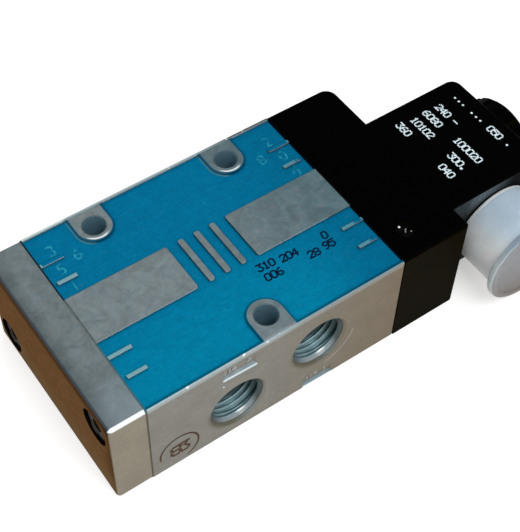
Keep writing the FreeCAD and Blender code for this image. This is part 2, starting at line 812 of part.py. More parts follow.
def make_solenoid_cover():
    body = new_body("solenoid_cover")
    outline = sketch_on(body, "cover_outline", "XY_Plane")
    draw_rectangle(outline, "cover_start", "cover_end", "near_side", "far_side")
    pad(body, "cover_block", outline, "moulding_top")
    corner = number("cover_end")
    for side in ("near", "far"):
        rounded(body, f"{side}_cover_corner", f"cover_{side}_corner_radius", [
            (UP, {"x": corner, "y": number(f"{side}_side")})])
    chamfered(body, "cover_top_edge", "cover_edge_bevel", [
        (ACROSS, {"x": corner, "z": number("moulding_top")})])
    bore_along(body, "piston_chamber", "0", "axis_height", steps(
        "cover_start", ("piston_diameter / 2 + running_gap", "chamber_end")))
    for index, (across, up) in enumerate(COVER_SCREWS):
        bore_along(body, f"screw_seat_{index}", across, up, steps(
            "cover_end",
            ("large_screw_head_diameter / 2 + screw_clearance", "cover_end - large_screw_sinking"),
            ("large_screw_diameter / 2 + screw_clearance", "cover_start")))
    bore_along(body, "feed_drilling", "feed_across", "supply_port_height", steps(
        "cover_start", ("pilot_drilling_diameter / 2", "cover_end")))
    bore_along(body, "control_drilling", "control_across", "axis_height", steps(
        "chamber_end", ("pilot_drilling_diameter / 2", "cover_end")))
    for index, (across, up) in enumerate(PILOT_SCREWS):
        bore_along(body, f"pilot_screw_thread_{index}", across, up, steps(
            "cover_end",
            ("small_screw_diameter / 2 + thread_clearance",
             "cover_end - small_screw_engagement - thread_clearance")))
    bore_up(body, "override_bore", "override_along", "override_across", steps(
        "moulding_top",
        ("override_radius + running_gap", "override_bottom - override_travel - running_gap"),
        ("override_spring_diameter / 2 + screw_clearance", "override_floor")))
    return body


def make_gasket(name, start, outline, holes):
    """A flat seal with round holes given as (across, up, radius)."""
    body = new_body(name)
    sketch = sketch_on(body, f"{name}_outline", "YZ_Plane", ("0", "0", start))
    draw_rectangle(sketch, *outline)
    for hole in holes:
        draw_circle(sketch, *hole)
    pad(body, f"{name}_sheet", sketch, "gasket_thickness")
    return body


def screw_holes(places, size):
    """Clearance holes for screws of one size."""
    return [(across, up, f"{size}_diameter / 2 + screw_clearance") for across, up in places]


def make_socket_screw(name, size, head_face, shoulder, tip, inward):
    """A socket head screw along X: head from head_face to shoulder, shank on to tip."""
    body = turned_along(name, steps(
        head_face, (f"{size}_head_diameter / 2", shoulder), (f"{size}_diameter / 2", tip)))
    hexagon = sketch_on(body, f"{name}_hexagon", "YZ_Plane", ("0", "0", head_face))
    corner = f"{size}_socket / sqrt(3)"
    angles = [math.radians(60 * index) for index in range(6)]
    draw_polygon(hexagon, [
        (f"{corner} * {math.cos(angle):.6f}", f"{corner} * {math.sin(angle):.6f}")
        for angle in angles])
    pocket(body, f"{name}_socket", hexagon, f"{size}_head_height * 0.6", inward == "+")
    return body


def make_screws(name, size, places, face, joint, inward):
    """Equal socket head screws, one at each (across, up) place, sunk below a face of one piece
    and screwed inward past its joint with the next."""
    outward = "-" if inward == "+" else "+"
    shoulder = f"{face} {inward} {size}_sinking"
    head_face = f"{shoulder} {outward} {size}_head_height"
    tip = f"{joint} {inward} {size}_engagement"
    screws = []
    for index, (across, up) in enumerate(places):
        screw = make_socket_screw(f"{name}_{index}", size, head_face, shoulder, tip, inward)
        screws.append(place(screw, across=across, up=up))
    return group(name, screws)


# ---------------------------------------------------------------- spool train

def make_sleeve():
    ports = ("0 - port_along", "0", "port_along")
    channels = [(port, "channel_width", "channel_radius") for port in ports]
    rings = [(ring, "sleeve_ring_width", "sleeve_ring_floor") for ring in SLEEVE_RINGS]
    notches = [rings[0], channels[0], rings[1], channels[1], rings[2], channels[2], rings[3]]
    outside = notched("0 - body_end", "body_end", "sleeve_radius", notches)
    inside = [("body_end", "bore_radius"), ("0 - body_end", "bore_radius")]
    body = turned_along("spool_sleeve", outside + inside)
    windows = sketch_on(body, "windows_outline", "XY_Plane")
    widths = ("side_window_width", "centre_window_width", "side_window_width")
    for port, width in zip(ports, widths):
        draw_rectangle(
            windows, f"{port} - {width} / 2", f"{port} + {width} / 2",
            "0 - window_height / 2", "window_height / 2")
    milled = pocket(body, "windows", windows, "sleeve_diameter / 2", True)
    repeat_round(body, "windows_round", [milled], "X_Axis", "window_count")
    return place(body, up="axis_height")


def make_sleeve_rings():
    rings = []
    for index, middle in enumerate(SLEEVE_RINGS):
        ring = ring_between(
            f"sleeve_ring_{index}", middle, "(sleeve_ring_width - 2 * running_gap)",
            "sleeve_ring_floor + running_gap / 2", "sleeve_radius + running_gap / 2")
        rings.append(place(ring, up="axis_height"))
    return group("sleeve_o_rings", rings)


def make_spool():
    stub = "spring_stub_diameter / 2"
    outline = [("stub_end", "0"), ("stub_end", stub)]
    before = stub
    for land in SPOOL_LANDS:
        left, right = f"{land} - land_width / 2", f"{land} + land_width / 2"
        ring = (land, "spool_ring_width", "spool_ring_floor")
        outline += [(left, before)] + notched(left, right, "land_radius", [ring])
        before = "spool_neck_diameter / 2"
        if land != SPOOL_LANDS[-1]:
            outline.append((right, before))
    body = turned_along("spool", outline + [("spool_end", "0")])
    return place(body, up="axis_height")


def make_spool_seals():
    seals = []
    for index, land in enumerate(SPOOL_LANDS):
        seal = ring_between(
            f"spool_seal_{index}", land, "(spool_ring_width - running_gap)",
            "spool_ring_floor + running_gap / 2", "bore_radius - running_gap")
        seals.append(place(seal, up="axis_height"))
    return group("spool_seals", seals)


def make_piston():
    stem = "piston_stem_diameter / 2"
    ring = ("piston_middle", "piston_ring_width", "piston_ring_floor")
    outline = [("spool_end", "0"), ("spool_end", stem), ("piston_back", stem)]
    outline += notched("piston_back", "piston_face", "piston_radius", [ring])
    return place(turned_along("pilot_piston", outline + [("piston_face", "0")]), up="axis_height")


def make_piston_seal():
    seal = ring_between(
        "piston_seal", "piston_middle", "(piston_ring_width - running_gap)",
        "piston_ring_floor + running_gap / 2", "piston_diameter / 2")
    return place(seal, up="axis_height")


# ---------------------------------------------------------------- springs

WIRE_CORNERS_PER_TURN = 10
WIRE_SIDES = 4
SPRING_END_GAP = 0.05


def spring_shape(outer_diameter, wire, length, turns):
    """A compression spring standing on the origin along +Z, its wire a chain of short prisms."""
    radius = (outer_diameter - wire) / 2
    wire_radius = wire / 2
    corners = int(turns) * WIRE_CORNERS_PER_TURN
    low = wire_radius + SPRING_END_GAP
    rise = length - 2 * low
    path = []
    for index in range(corners + 1):
        angle = math.tau * index / WIRE_CORNERS_PER_TURN
        height = low + rise * index / corners
        path.append(FreeCAD.Vector(radius * math.cos(angle), radius * math.sin(angle), height))
    heading = (path[1] - path[0]).normalize()
    sideways = heading.cross(ALONG).normalize()
    outwards = sideways.cross(heading)
    section = []
    for side in range(WIRE_SIDES + 1):
        angle = math.tau * (side % WIRE_SIDES) / WIRE_SIDES
        offset = outwards * math.cos(angle) + sideways * math.sin(angle)
        section.append(path[0] + offset * wire_radius)
    sweep = Part.BRepOffsetAPI.MakePipeShell(Part.makePolygon(path))
    sweep.setTransitionMode(1)
    sweep.add(Part.makePolygon(section), False, False)
    sweep.build()
    sweep.makeSolid()
    return sweep.shape()


def make_spring(name, start, end):
    """A spring that fills the room between two places on its axis."""
    feature = doc.addObject("Part::Feature", name)
    feature.Label = name
    length = abs(number(end) - number(start))
    feature.Shape = spring_shape(
        number(f"{name}_diameter"), number(f"{name}_wire"), length, number(f"{name}_turns"))
    return feature


def stand(spring, along, across, up):
    """Stand a spring upright with its lower end at a place."""
    spring.Placement.Base = FreeCAD.Vector(number(along), number(across), number(up))
    return spring


def lay(spring, along, across, up):
    """Lay a spring along the valve with its left end at a place."""
    stand(spring, along, across, up)
    spring.Placement.Rotation = FreeCAD.Rotation(ACROSS, 90)
    return spring


# ---------------------------------------------------------------- manual override

def make_override_plunger():
    ring = ("override_middle", "override_ring_width", "override_ring_floor")
    outline = [("override_bottom", "0")]
    outline += notched("override_bottom", "override_top", "override_radius", [ring])
    body = turned_up("override_plunger", outline + [("override_top", "0")])
    slot = sketch_on(body, "slot_outline", "XY_Plane", ("0", "0", "override_top"))
    draw_rectangle(
        slot, "0 - override_diameter", "override_diameter",
        "0 - override_slot_width / 2", "override_slot_width / 2")
    pocket(body, "screwdriver_slot", slot, "override_slot_depth")
    return place(body, along="override_along", across="override_across")


def make_override_ring():
    half = "(override_ring_width - running_gap) / 2"
    body = turned_up("override_o_ring", tube(
        f"override_middle - {half}", f"override_middle + {half}",
        "override_ring_floor + running_gap / 2", "override_radius"))
    return place(body, along="override_along", across="override_across")


# ---------------------------------------------------------------- pilot valve

def make_pilot_base():
    body = new_body("pilot_base")
    outline = sketch_on(body, "base_outline", "YZ_Plane", ("0", "0", "base_start"))
    draw_rectangle(outline, "base_near", "base_far", "base_bottom", "base_top")
    pad(body, "base_block", outline, "pilot_base_length")
    bore_along(body, "armature_room", "coil_axis", "axis_height", steps(
        "base_end",
        ("tube_flange_diameter / 2 + armature_gap", "flange_start"),
        ("tube_ring_diameter / 2 + armature_gap", "flange_start - tube_ring_width"),
        ("armature_room_diameter / 2", "room_start"),
        ("nozzle_diameter / 2 + armature_gap", "nozzle_start")))
    channel = sketch_on(body, "feed_channel_outline", "YZ_Plane", ("0", "0", "base_start"))
    half = "pilot_drilling_diameter / 2"
    draw_rectangle(
        channel, f"feed_across - {half}", f"coil_axis + {half}",
        f"axis_height - {half}", f"supply_port_height + {half}")
    pocket(body, "feed_channel", channel, "nozzle_start - base_start", True)
    bore_along(body, "control_drilling", "control_across", "axis_height", steps(
        "base_start", (half, "room_start + armature_room_depth / 4")))
    for index, (across, up) in enumerate(PILOT_SCREWS):
        bore_along(body, f"screw_seat_{index}", across, up, steps(
            "base_end",
            ("small_screw_head_diameter / 2 + screw_clearance", "base_end - small_screw_sinking"),
            ("small_screw_diameter / 2 + screw_clearance", "base_start")))
    return body


def make_nozzle():
    orifice, tip = "nozzle_orifice / 2", "nozzle_tip_diameter / 2"
    flange = "nozzle_diameter / 2"
    return turned_along("pilot_nozzle", [
        ("nozzle_start", orifice), ("nozzle_start", flange), ("room_start", flange),
        ("room_start", tip), ("nozzle_tip", tip), ("nozzle_tip", orifice)])


def make_armature_tube():
    flange = "tube_flange_diameter / 2"
    return turned_along("armature_tube", [
        ("flange_start", "tube_bore"), ("flange_start", flange), ("base_end", flange),
        ("base_end", "tube_radius"), ("coil_room_end", "tube_radius"),
        ("coil_room_end", "tube_bore")])


def make_tube_ring():
    outer = "tube_ring_diameter / 2"
    return turned_along("tube_o_ring", tube(
        "flange_start - tube_ring_width", "flange_start", f"{outer} - tube_ring_section", outer))


def make_armature():
    disc, bore = "seal_disc_diameter / 2 + armature_gap", "armature_bore_diameter / 2"
    return turned_along("armature", [
        ("disc_seat", "0"), ("disc_seat", disc), ("armature_start", disc),
        ("armature_start", "core_radius"), ("armature_end", "core_radius"),
        ("armature_end", bore), ("armature_bore_bottom", bore), ("armature_bore_bottom", "0")])


def make_armature_seal():
    return turned_along("armature_seal", steps(
        "armature_start - seal_disc_proud", ("seal_disc_diameter / 2", "disc_seat")))


def make_fixed_core():
    bore = "armature_bore_diameter / 2"
    return turned_along("fixed_core", [
        ("core_bore_bottom", "0"), ("core_bore_bottom", bore), ("core_start", bore),
        ("core_start", "core_radius"), ("stud_end", "core_radius"), ("stud_end", "0")])


# ---------------------------------------------------------------- coil

def make_coil_housing():
    body = new_body("coil_housing")
    outline = sketch_on(body, "housing_outline", "XY_Plane")
    draw_rectangle(outline, "cover_end", "pilot_end", "pilot_near", "pilot_far")
    pad(body, "housing_block", outline, "moulding_top")
    chamfered(body, "housing_lower_edge", "pilot_lower_bevel", [
        (ALONG, {"y": number("pilot_near"), "z": 0.0})])
    corner = number("pilot_end")
    sides = (number("pilot_near"), number("pilot_far"))
    rounded(body, "housing_corners", "pilot_corner_radius", [
        (UP, {"x": corner, "y": side}) for side in sides])
    chamfered(body, "housing_top_edge", "pilot_edge_bevel", [
        (ACROSS, {"x": corner, "z": number("moulding_top")})])
    room = sketch_on(body, "base_room_outline", "YZ_Plane", ("0", "0", "cover_end"))
    gap = "pilot_base_clearance"
    draw_rectangle(
        room, f"base_near - {gap}", f"base_far + {gap}", f"base_bottom - {gap}", f"base_top + {gap}")
    pocket(body, "base_room", room, "base_end - cover_end", True)
    coil_room = sketch_on(body, "coil_room_outline", "YZ_Plane", ("0", "0", "base_end"))
    draw_rectangle(
        coil_room, "coil_axis - coil_room_near", "coil_axis + coil_room_far",
        "axis_height - coil_room_half", "axis_height + coil_room_half")
    pocket(body, "coil_room", coil_room, "coil_room_end - base_end", True)
    bore_along(body, "stud_hole", "coil_axis", "axis_height", steps(
        "coil_room_end", ("core_radius + tube_clearance", "pilot_end")))
    bore_across(body, "shell_seat", "connector_along", "connector_height", steps(
        "pilot_near", ("shell_radius + armature_gap", "shell_start")))
    for index, (along, up) in enumerate(PINS):
        bore_across(
            body, f"pin_seat_{index}", f"connector_along + {along}", f"connector_height + {up}",
            steps("shell_start", ("pin_radius + armature_gap", "pin_start")))
    return body


def make_yoke():
    body = new_body("coil_yoke")
    outline = sketch_on(body, "yoke_outline", "XY_Plane", ("0", "0", "0 - yoke_width / 2"))
    near, inside = "0 - bobbin_diameter / 2", "yoke_inside"
    left_inside, right_inside = "yoke_start + yoke_thickness", "yoke_end - yoke_thickness"
    draw_polygon(outline, [
        ("yoke_start", near), ("yoke_start", f"{inside} + yoke_thickness"),
        ("yoke_end", f"{inside} + yoke_thickness"), ("yoke_end", near),
        (right_inside, near), (right_inside, inside), (left_inside, inside), (left_inside, near)])
    pad(body, "yoke_strip", outline, "yoke_width")
    bore_along(body, "tube_hole", "0", "0", steps("yoke_start", ("bobbin_bore", "yoke_end")))
    return body


def make_bobbin():
    flange = "bobbin_diameter / 2"
    return turned_along("coil_bobbin", [
        ("bobbin_start", "bobbin_bore"), ("bobbin_start", flange),
        ("bobbin_start + bobbin_wall", flange), ("bobbin_start + bobbin_wall", "barrel_radius"),
        ("bobbin_end - bobbin_wall", "barrel_radius"), ("bobbin_end - bobbin_wall", flange),
        ("bobbin_end", flange), ("bobbin_end", "bobbin_bore")])


def make_winding():
    return turned_along("coil_winding", tube(
        "bobbin_start + bobbin_wall", "bobbin_end - bobbin_wall",
        "barrel_radius + armature_gap", "barrel_radius + winding_thickness"))


def make_coil_nut():
    inner, outer = "nut_ring_diameter / 2 - nut_ring_section", "nut_ring_diameter / 2"
    bore = "core_radius + thread_clearance"
    body = turned_along("coil_nut", [
        ("pilot_end", bore), ("pilot_end", f"{inner} - armature_gap"),
        ("pilot_end + nut_ring_width", f"{inner} - armature_gap"),
        ("pilot_end + nut_ring_width", f"{outer} + armature_gap"),
        ("pilot_end", f"{outer} + armature_gap"), ("pilot_end", "nut_radius"),
        ("nut_end - nut_chamfer", "nut_radius"), ("nut_end", "nut_radius - nut_chamfer"),
        ("nut_end", bore)])
    flute = sketch_on(body, "flute_outline", "YZ_Plane", ("0", "0", "pilot_end"))
    mouth = "nut_radius + nut_flute_depth"
    draw_polygon(flute, [
        ("nut_radius - nut_flute_depth", "0"), (mouth, "nut_flute_width"),
        (mouth, "0 - nut_flute_width")])
    cut = pocket(body, "flute", flute, "nut_length", True)
    repeat_round(body, "flutes", [cut], "X_Axis", "nut_flute_count")
    return body


def make_nut_ring():
    outer = "nut_ring_diameter / 2"
    return turned_along("nut_seal_ring", tube(
        "pilot_end", "pilot_end + nut_ring_width", f"{outer} - nut_ring_section", outer))


# ---------------------------------------------------------------- connector and dust cap

def make_connector_shell():
    return turned_across("connector_shell", [
        ("shell_start", "shell_bore"), ("shell_start", "shell_radius"),
        ("shell_end + shell_chamfer", "shell_radius"),
        ("shell_end", "shell_radius - shell_chamfer"), ("shell_end", "shell_bore")])


def make_connector_insert():
    body = turned_across("connector_insert", steps(
        "shell_start", ("shell_bore - armature_gap", "insert_face")))
    for index, (along, up) in enumerate(PINS):
        bore_across(body, f"pin_hole_{index}", along, up, steps(
            "shell_start", ("pin_radius + armature_gap", "insert_face")))
    return body


def make_connector_seal():
    outer = "shell_bore - armature_gap"
    return turned_across("connector_seal", tube(
        "insert_face", "insert_face - seal_thickness", f"{outer} - seal_width", outer))


def make_connector_pins():
    pins = []
    for index, (along, up) in enumerate(PINS):
        pin = turned_across(f"connector_pin_{index}", [
            ("pin_start", "0"), ("pin_start", "pin_radius"), ("pin_end + pin_point", "pin_radius"),
            ("pin_end", "pin_radius - pin_point"), ("pin_end", "0")])
        pins.append(place(
            pin, along=f"connector_along + {along}", up=f"connector_height + {up}"))
    return group("connector_pins", pins)


def make_dust_cap():
    return turned_across("dust_cap", [
        ("cap_mouth", "cap_bore"), ("cap_mouth", "cap_radius"),
        ("cap_flange_start", "cap_radius"), ("cap_flange_start", "cap_flange_diameter / 2"),
        ("cap_back", "cap_flange_diameter / 2"), ("cap_back", "0"),
        ("cap_back + cap_end_wall", "0"), ("cap_back + cap_end_wall", "cap_bore")])


# ---------------------------------------------------------------- assembly

CAP_SCREWS = (
    ("cap_screw_near_across", "end_cap_screw_high"),
    ("cap_screw_far_across", "end_cap_screw_low"),
)
COVER_SCREWS = (
    ("0 - cover_screw_across", "cover_screw_low"),
    ("cover_screw_across", "cover_screw_high"),
)
PILOT_SCREWS = (
    ("pilot_screw_near", "pilot_screw_low"),
    ("pilot_screw_far", "pilot_screw_high"),
)
SLEEVE_RINGS = (
    "0 - outer_ring_along", "0 - inner_ring_along", "inner_ring_along", "outer_ring_along")
SPOOL_LANDS = ("left_end_land", "left_inner_land", "seal_wall_along", "right_end_land")
PINS = [
    (f"{side} * pin_spacing / 2", f"{level} * pin_spacing / 2")
    for side in (-1, 1) for level in (-1, 1)]
BODY_FACE = (
    "near_side + gasket_inset", "far_side - gasket_inset",
    "gasket_inset", "body_height - gasket_inset")
PILOT_FACE = ("base_near", "base_far", "base_bottom", "base_top")
FEED_HOLE = ("feed_across", "supply_port_height", "pilot_drilling_diameter / 2")
CONTROL_HOLE = ("control_across", "axis_height", "pilot_drilling_diameter / 2")


def on_coil_axis(thing):
    """Stand a piece turned about X on the solenoid's axis."""
    return place(thing, across="coil_axis", up="axis_height")


def on_connector(thing):
    """Stand a piece turned about Y on the connector's axis."""
    return place(thing, along="connector_along", up="connector_height")


parts = [
    make_valve_body(),
    make_end_cap(),
    make_gasket(
        "end_cap_gasket", "cap_start", BODY_FACE,
        [("0", "axis_height", "spring_pocket_diameter / 2")]
        + screw_holes(CAP_SCREWS, "large_screw")),
    make_screws("end_cap_screws", "large_screw", CAP_SCREWS, "cap_end", "0 - body_end", "+"),
    make_solenoid_cover(),
    make_gasket(
        "cover_gasket", "body_end", BODY_FACE,
        [("0", "axis_height", "bore_radius"), FEED_HOLE]
        + screw_holes(COVER_SCREWS, "large_screw")),
    make_screws("cover_screws", "large_screw", COVER_SCREWS, "cover_end", "body_end", "-"),
    make_sleeve(),
    make_sleeve_rings(),
    make_spool(),
    make_spool_seals(),
    make_piston(),
    make_piston_seal(),
    lay(make_spring("return_spring", "spring_bottom", "spring_seat"),
        "spring_bottom", "0", "axis_height"),
    make_override_plunger(),
    make_override_ring(),
    stand(make_spring("override_spring", "override_floor", "override_bottom"),
          "override_along", "override_across", "override_floor"),
    make_pilot_base(),
    make_gasket(
        "pilot_gasket", "cover_end", PILOT_FACE,
        [FEED_HOLE, CONTROL_HOLE] + screw_holes(PILOT_SCREWS, "small_screw")),
    make_screws("pilot_screws", "small_screw", PILOT_SCREWS, "base_end", "cover_end", "-"),
    on_coil_axis(make_nozzle()),
    on_coil_axis(make_armature_tube()),
    on_coil_axis(make_tube_ring()),
    on_coil_axis(make_armature()),
    on_coil_axis(make_armature_seal()),
    lay(make_spring("armature_spring", "armature_bore_bottom", "core_bore_bottom"),
        "armature_bore_bottom", "coil_axis", "axis_height"),
    on_coil_axis(make_fixed_core()),
    make_coil_housing(),
    on_coil_axis(make_yoke()),
    on_coil_axis(make_bobbin()),
    on_coil_axis(make_winding()),
    on_coil_axis(make_coil_nut()),
    on_coil_axis(make_nut_ring()),
    on_connector(make_connector_shell()),
    on_connector(make_connector_insert()),
    on_connector(make_connector_seal()),
    make_connector_pins(),
    on_connector(make_dust_cap()),
]
doc.recompute()

for item in doc.Objects:
    if "Invalid" in item.State or "Error" in item.State:
        raise RuntimeError(f"{item.Name} did not compute: {item.State}")
for part in parts:
    if part.Shape.isNull() or not part.Shape.isValid():
        raise RuntimeError(f"{part.Label} has no valid shape")

os.makedirs("parts", exist_ok=True)
for part in parts:
    part.Shape.exportStep(f"parts/{part.Label}.step")
    print(f"{part.Label}: {len(part.Shape.Solids)} solid(s), {part.Shape.Volume:.1f} mm3")
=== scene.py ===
import json
import math
from types import SimpleNamespace

import bmesh
import bpy
from bpy.props import FloatProperty, FloatVectorProperty, IntProperty, PointerProperty
from mathutils import Matrix, Vector


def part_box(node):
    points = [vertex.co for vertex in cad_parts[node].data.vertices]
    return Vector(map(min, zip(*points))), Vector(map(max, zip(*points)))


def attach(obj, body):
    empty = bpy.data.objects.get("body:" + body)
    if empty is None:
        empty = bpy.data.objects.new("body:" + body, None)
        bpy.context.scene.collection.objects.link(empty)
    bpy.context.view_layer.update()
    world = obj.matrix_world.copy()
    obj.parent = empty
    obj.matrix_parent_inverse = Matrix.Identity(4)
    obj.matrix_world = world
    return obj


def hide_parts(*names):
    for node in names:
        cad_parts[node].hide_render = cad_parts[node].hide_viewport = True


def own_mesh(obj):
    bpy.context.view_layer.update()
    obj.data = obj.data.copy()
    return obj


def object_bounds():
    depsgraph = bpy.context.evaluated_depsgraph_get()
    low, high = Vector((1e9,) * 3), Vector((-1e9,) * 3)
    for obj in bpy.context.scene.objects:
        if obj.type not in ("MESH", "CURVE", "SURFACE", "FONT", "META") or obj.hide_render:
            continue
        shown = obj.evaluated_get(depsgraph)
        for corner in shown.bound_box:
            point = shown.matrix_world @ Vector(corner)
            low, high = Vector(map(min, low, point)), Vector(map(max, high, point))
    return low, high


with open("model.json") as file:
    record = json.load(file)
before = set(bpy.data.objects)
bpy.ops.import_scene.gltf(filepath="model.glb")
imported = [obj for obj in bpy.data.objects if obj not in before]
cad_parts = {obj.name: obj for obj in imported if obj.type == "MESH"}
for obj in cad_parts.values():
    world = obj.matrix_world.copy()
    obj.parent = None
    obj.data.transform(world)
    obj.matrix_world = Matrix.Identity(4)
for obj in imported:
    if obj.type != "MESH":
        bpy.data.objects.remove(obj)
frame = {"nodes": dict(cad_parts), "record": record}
cad_low, cad_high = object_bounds()

bl_info = {
    "name": "Solenoid Valve Finishes",
    "version": (1, 0, 0),
    "blender": (4, 5, 0),
    "location": "View3D > Sidebar > Valve",
    "description": "Threads, marks and surface finishes for a solenoid piloted spool valve",
    "category": "Object",
}

MM = 0.001
RIGHT = Vector((1.0, 0.0, 0.0))
AWAY = Vector((0.0, 1.0, 0.0))
UP = Vector((0.0, 0.0, 1.0))
BODY_LOW, BODY_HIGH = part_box("valve_body")
HOUSING_LOW, HOUSING_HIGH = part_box("coil_housing")
MOUNTS = {mount["name"]: mount for mount in frame["record"]["mounts"]}
THREAD_MAJOR = MOUNTS["supply_port"]["dims"]["r_mm"] * MM

# Faces and edges that the finishes follow, in millimetres.
TOP = BODY_HIGH.z / MM
NEAR = BODY_LOW.y / MM
FAR = BODY_HIGH.y / MM
BODY_END = BODY_HIGH.x / MM
CAP_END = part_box("end_cap")[0].x / MM
FLOOR = TOP - 0.5               # of the painted recess
RIM = FAR - 0.8                 # where the recess's long rims begin
TICKS = 26.0                    # where the ticks at each end begin
HOLE = MOUNTS["mount_hole_near"]["dims"]["r_mm"]
TONGUE = 4.3                    # radius of the raised tongue round a hole
PORT = 6.7                      # radius of a port's countersunk mouth
SCREW_RECESS = 4.2              # radius round the end cap's screw heads


# ---------------------------------------------------------------- sizes and colours


def shade(name, description, default):
    return FloatVectorProperty(
        name=name, description=description, default=default, subtype="COLOR", min=0.0, max=1.0)


def length(name, description, millimetres, lowest=0.0):
    return FloatProperty(
        name=name, description=description, default=millimetres * MM, min=lowest * MM,
        unit="LENGTH", subtype="DISTANCE", precision=5)


class ValveColours(bpy.types.PropertyGroup):
    """Colours of the finishes."""

    # Painted reflection: cast_top is bluer, as from cool light above, and cast_side warmer, as
    # from warm light below.
    cast_top: shade(
        "Machined top", "Bare die-cast metal on the upward faces", (0.165, 0.205, 0.215))
    cast_side: shade("Cast side", "Bare die-cast metal on the side faces", (0.214, 0.208, 0.180))
    # Painted reflection: the end face's brown stands for warm surroundings seen in bare metal.
    end_face_reflection: shade("Cast end", "Browned metal on the end cap's outer face", (0.160, 0.080, 0.032))
    # Painted highlight along the upper near edges.
    edge_highlight: shade("Bright edge", "Metal rubbed bright on the upper edges", (0.86, 0.92, 0.96))
    paint: shade("Recess paint", "Paint in the top recess", (0.0005, 0.138, 0.272))
    moulding: shade(
        "Black moulding", "Plastic of the cover and the coil housing", (0.0002, 0.0002, 0.0002))
    # The mouldings' side faces are browner and lighter than their tops.
    moulding_side: shade(
        "Dusty moulding", "Side faces of the black mouldings", (0.0045, 0.0032, 0.0004))
    rubber: shade("Rubber", "Gaskets, O-rings and seals", (0.014, 0.010, 0.007))
    ink: shade("Dark ink", "Numbers printed on the paint", (0.002, 0.008, 0.030))
    stamp: shade("Brown stamp", "Inspection stamp on the near side", (0.070, 0.034, 0.018))
    print_white: shade("White print", "Numbers printed on the coil housing", (0.62, 0.74, 0.79))
    cap: shade("Dust cap", "Milky polyethylene of the dust cap", (0.39, 0.50, 0.62))
    floor: shade("Floor", "Plain pale floor", (0.80, 0.80, 0.80))


class ValveSizes(bpy.types.PropertyGroup):
    """Sizes of the pieces added to the valve."""

    thread_pitch: length("Thread pitch", "Pitch of the pipe thread in the ports", 1.337, 0.2)
    thread_depth: length("Thread height", "Height of the thread's ridge", 0.856, 0.1)
    thread_length: length("Thread length", "Depth of full thread in a port", 8.0, 1.0)
    thread_sides: IntProperty(
        name="Thread sides", description="Flats in one turn of thread", default=72, min=12,
        max=360)
    label_relief: length("Number relief", "How far the port numbers stand up", 0.24)
    tick_number_relief: length("Embossing", "How far the numbers in the recess stand up", 0.09)
    ink_height: length("Ink number height", "Height of the numbers on the paint", 1.75, 0.5)
    print_height: length("Print height", "Height of the white numbers", 1.75, 0.5)
    stamp_radius: length("Stamp radius", "Radius of the stamp's ring", 4.7, 1.0)
    film: length("Ink film", "Thickness of ink above the surface", 0.02)
    cap_rounding: length("Cap rounding", "Rounding of the dust cap's outer edges", 0.35)


class ValveStudio(bpy.types.PropertyGroup):
    """Camera and light."""

    focal_length: FloatProperty(
        name="Focal length", description="Lens of the camera", default=82.398, min=10.0,
        unit="CAMERA")
    world_light: FloatProperty(
        name="Room light", description="Strength of the even light from all round", default=0.72,
        min=0.0)
    key_power: FloatProperty(
        name="Key light", description="Power of the large soft lamp", default=1.6, min=0.0,
        unit="POWER")
    key_size: length("Key size", "Side of the large soft lamp", 260.0, 10.0)


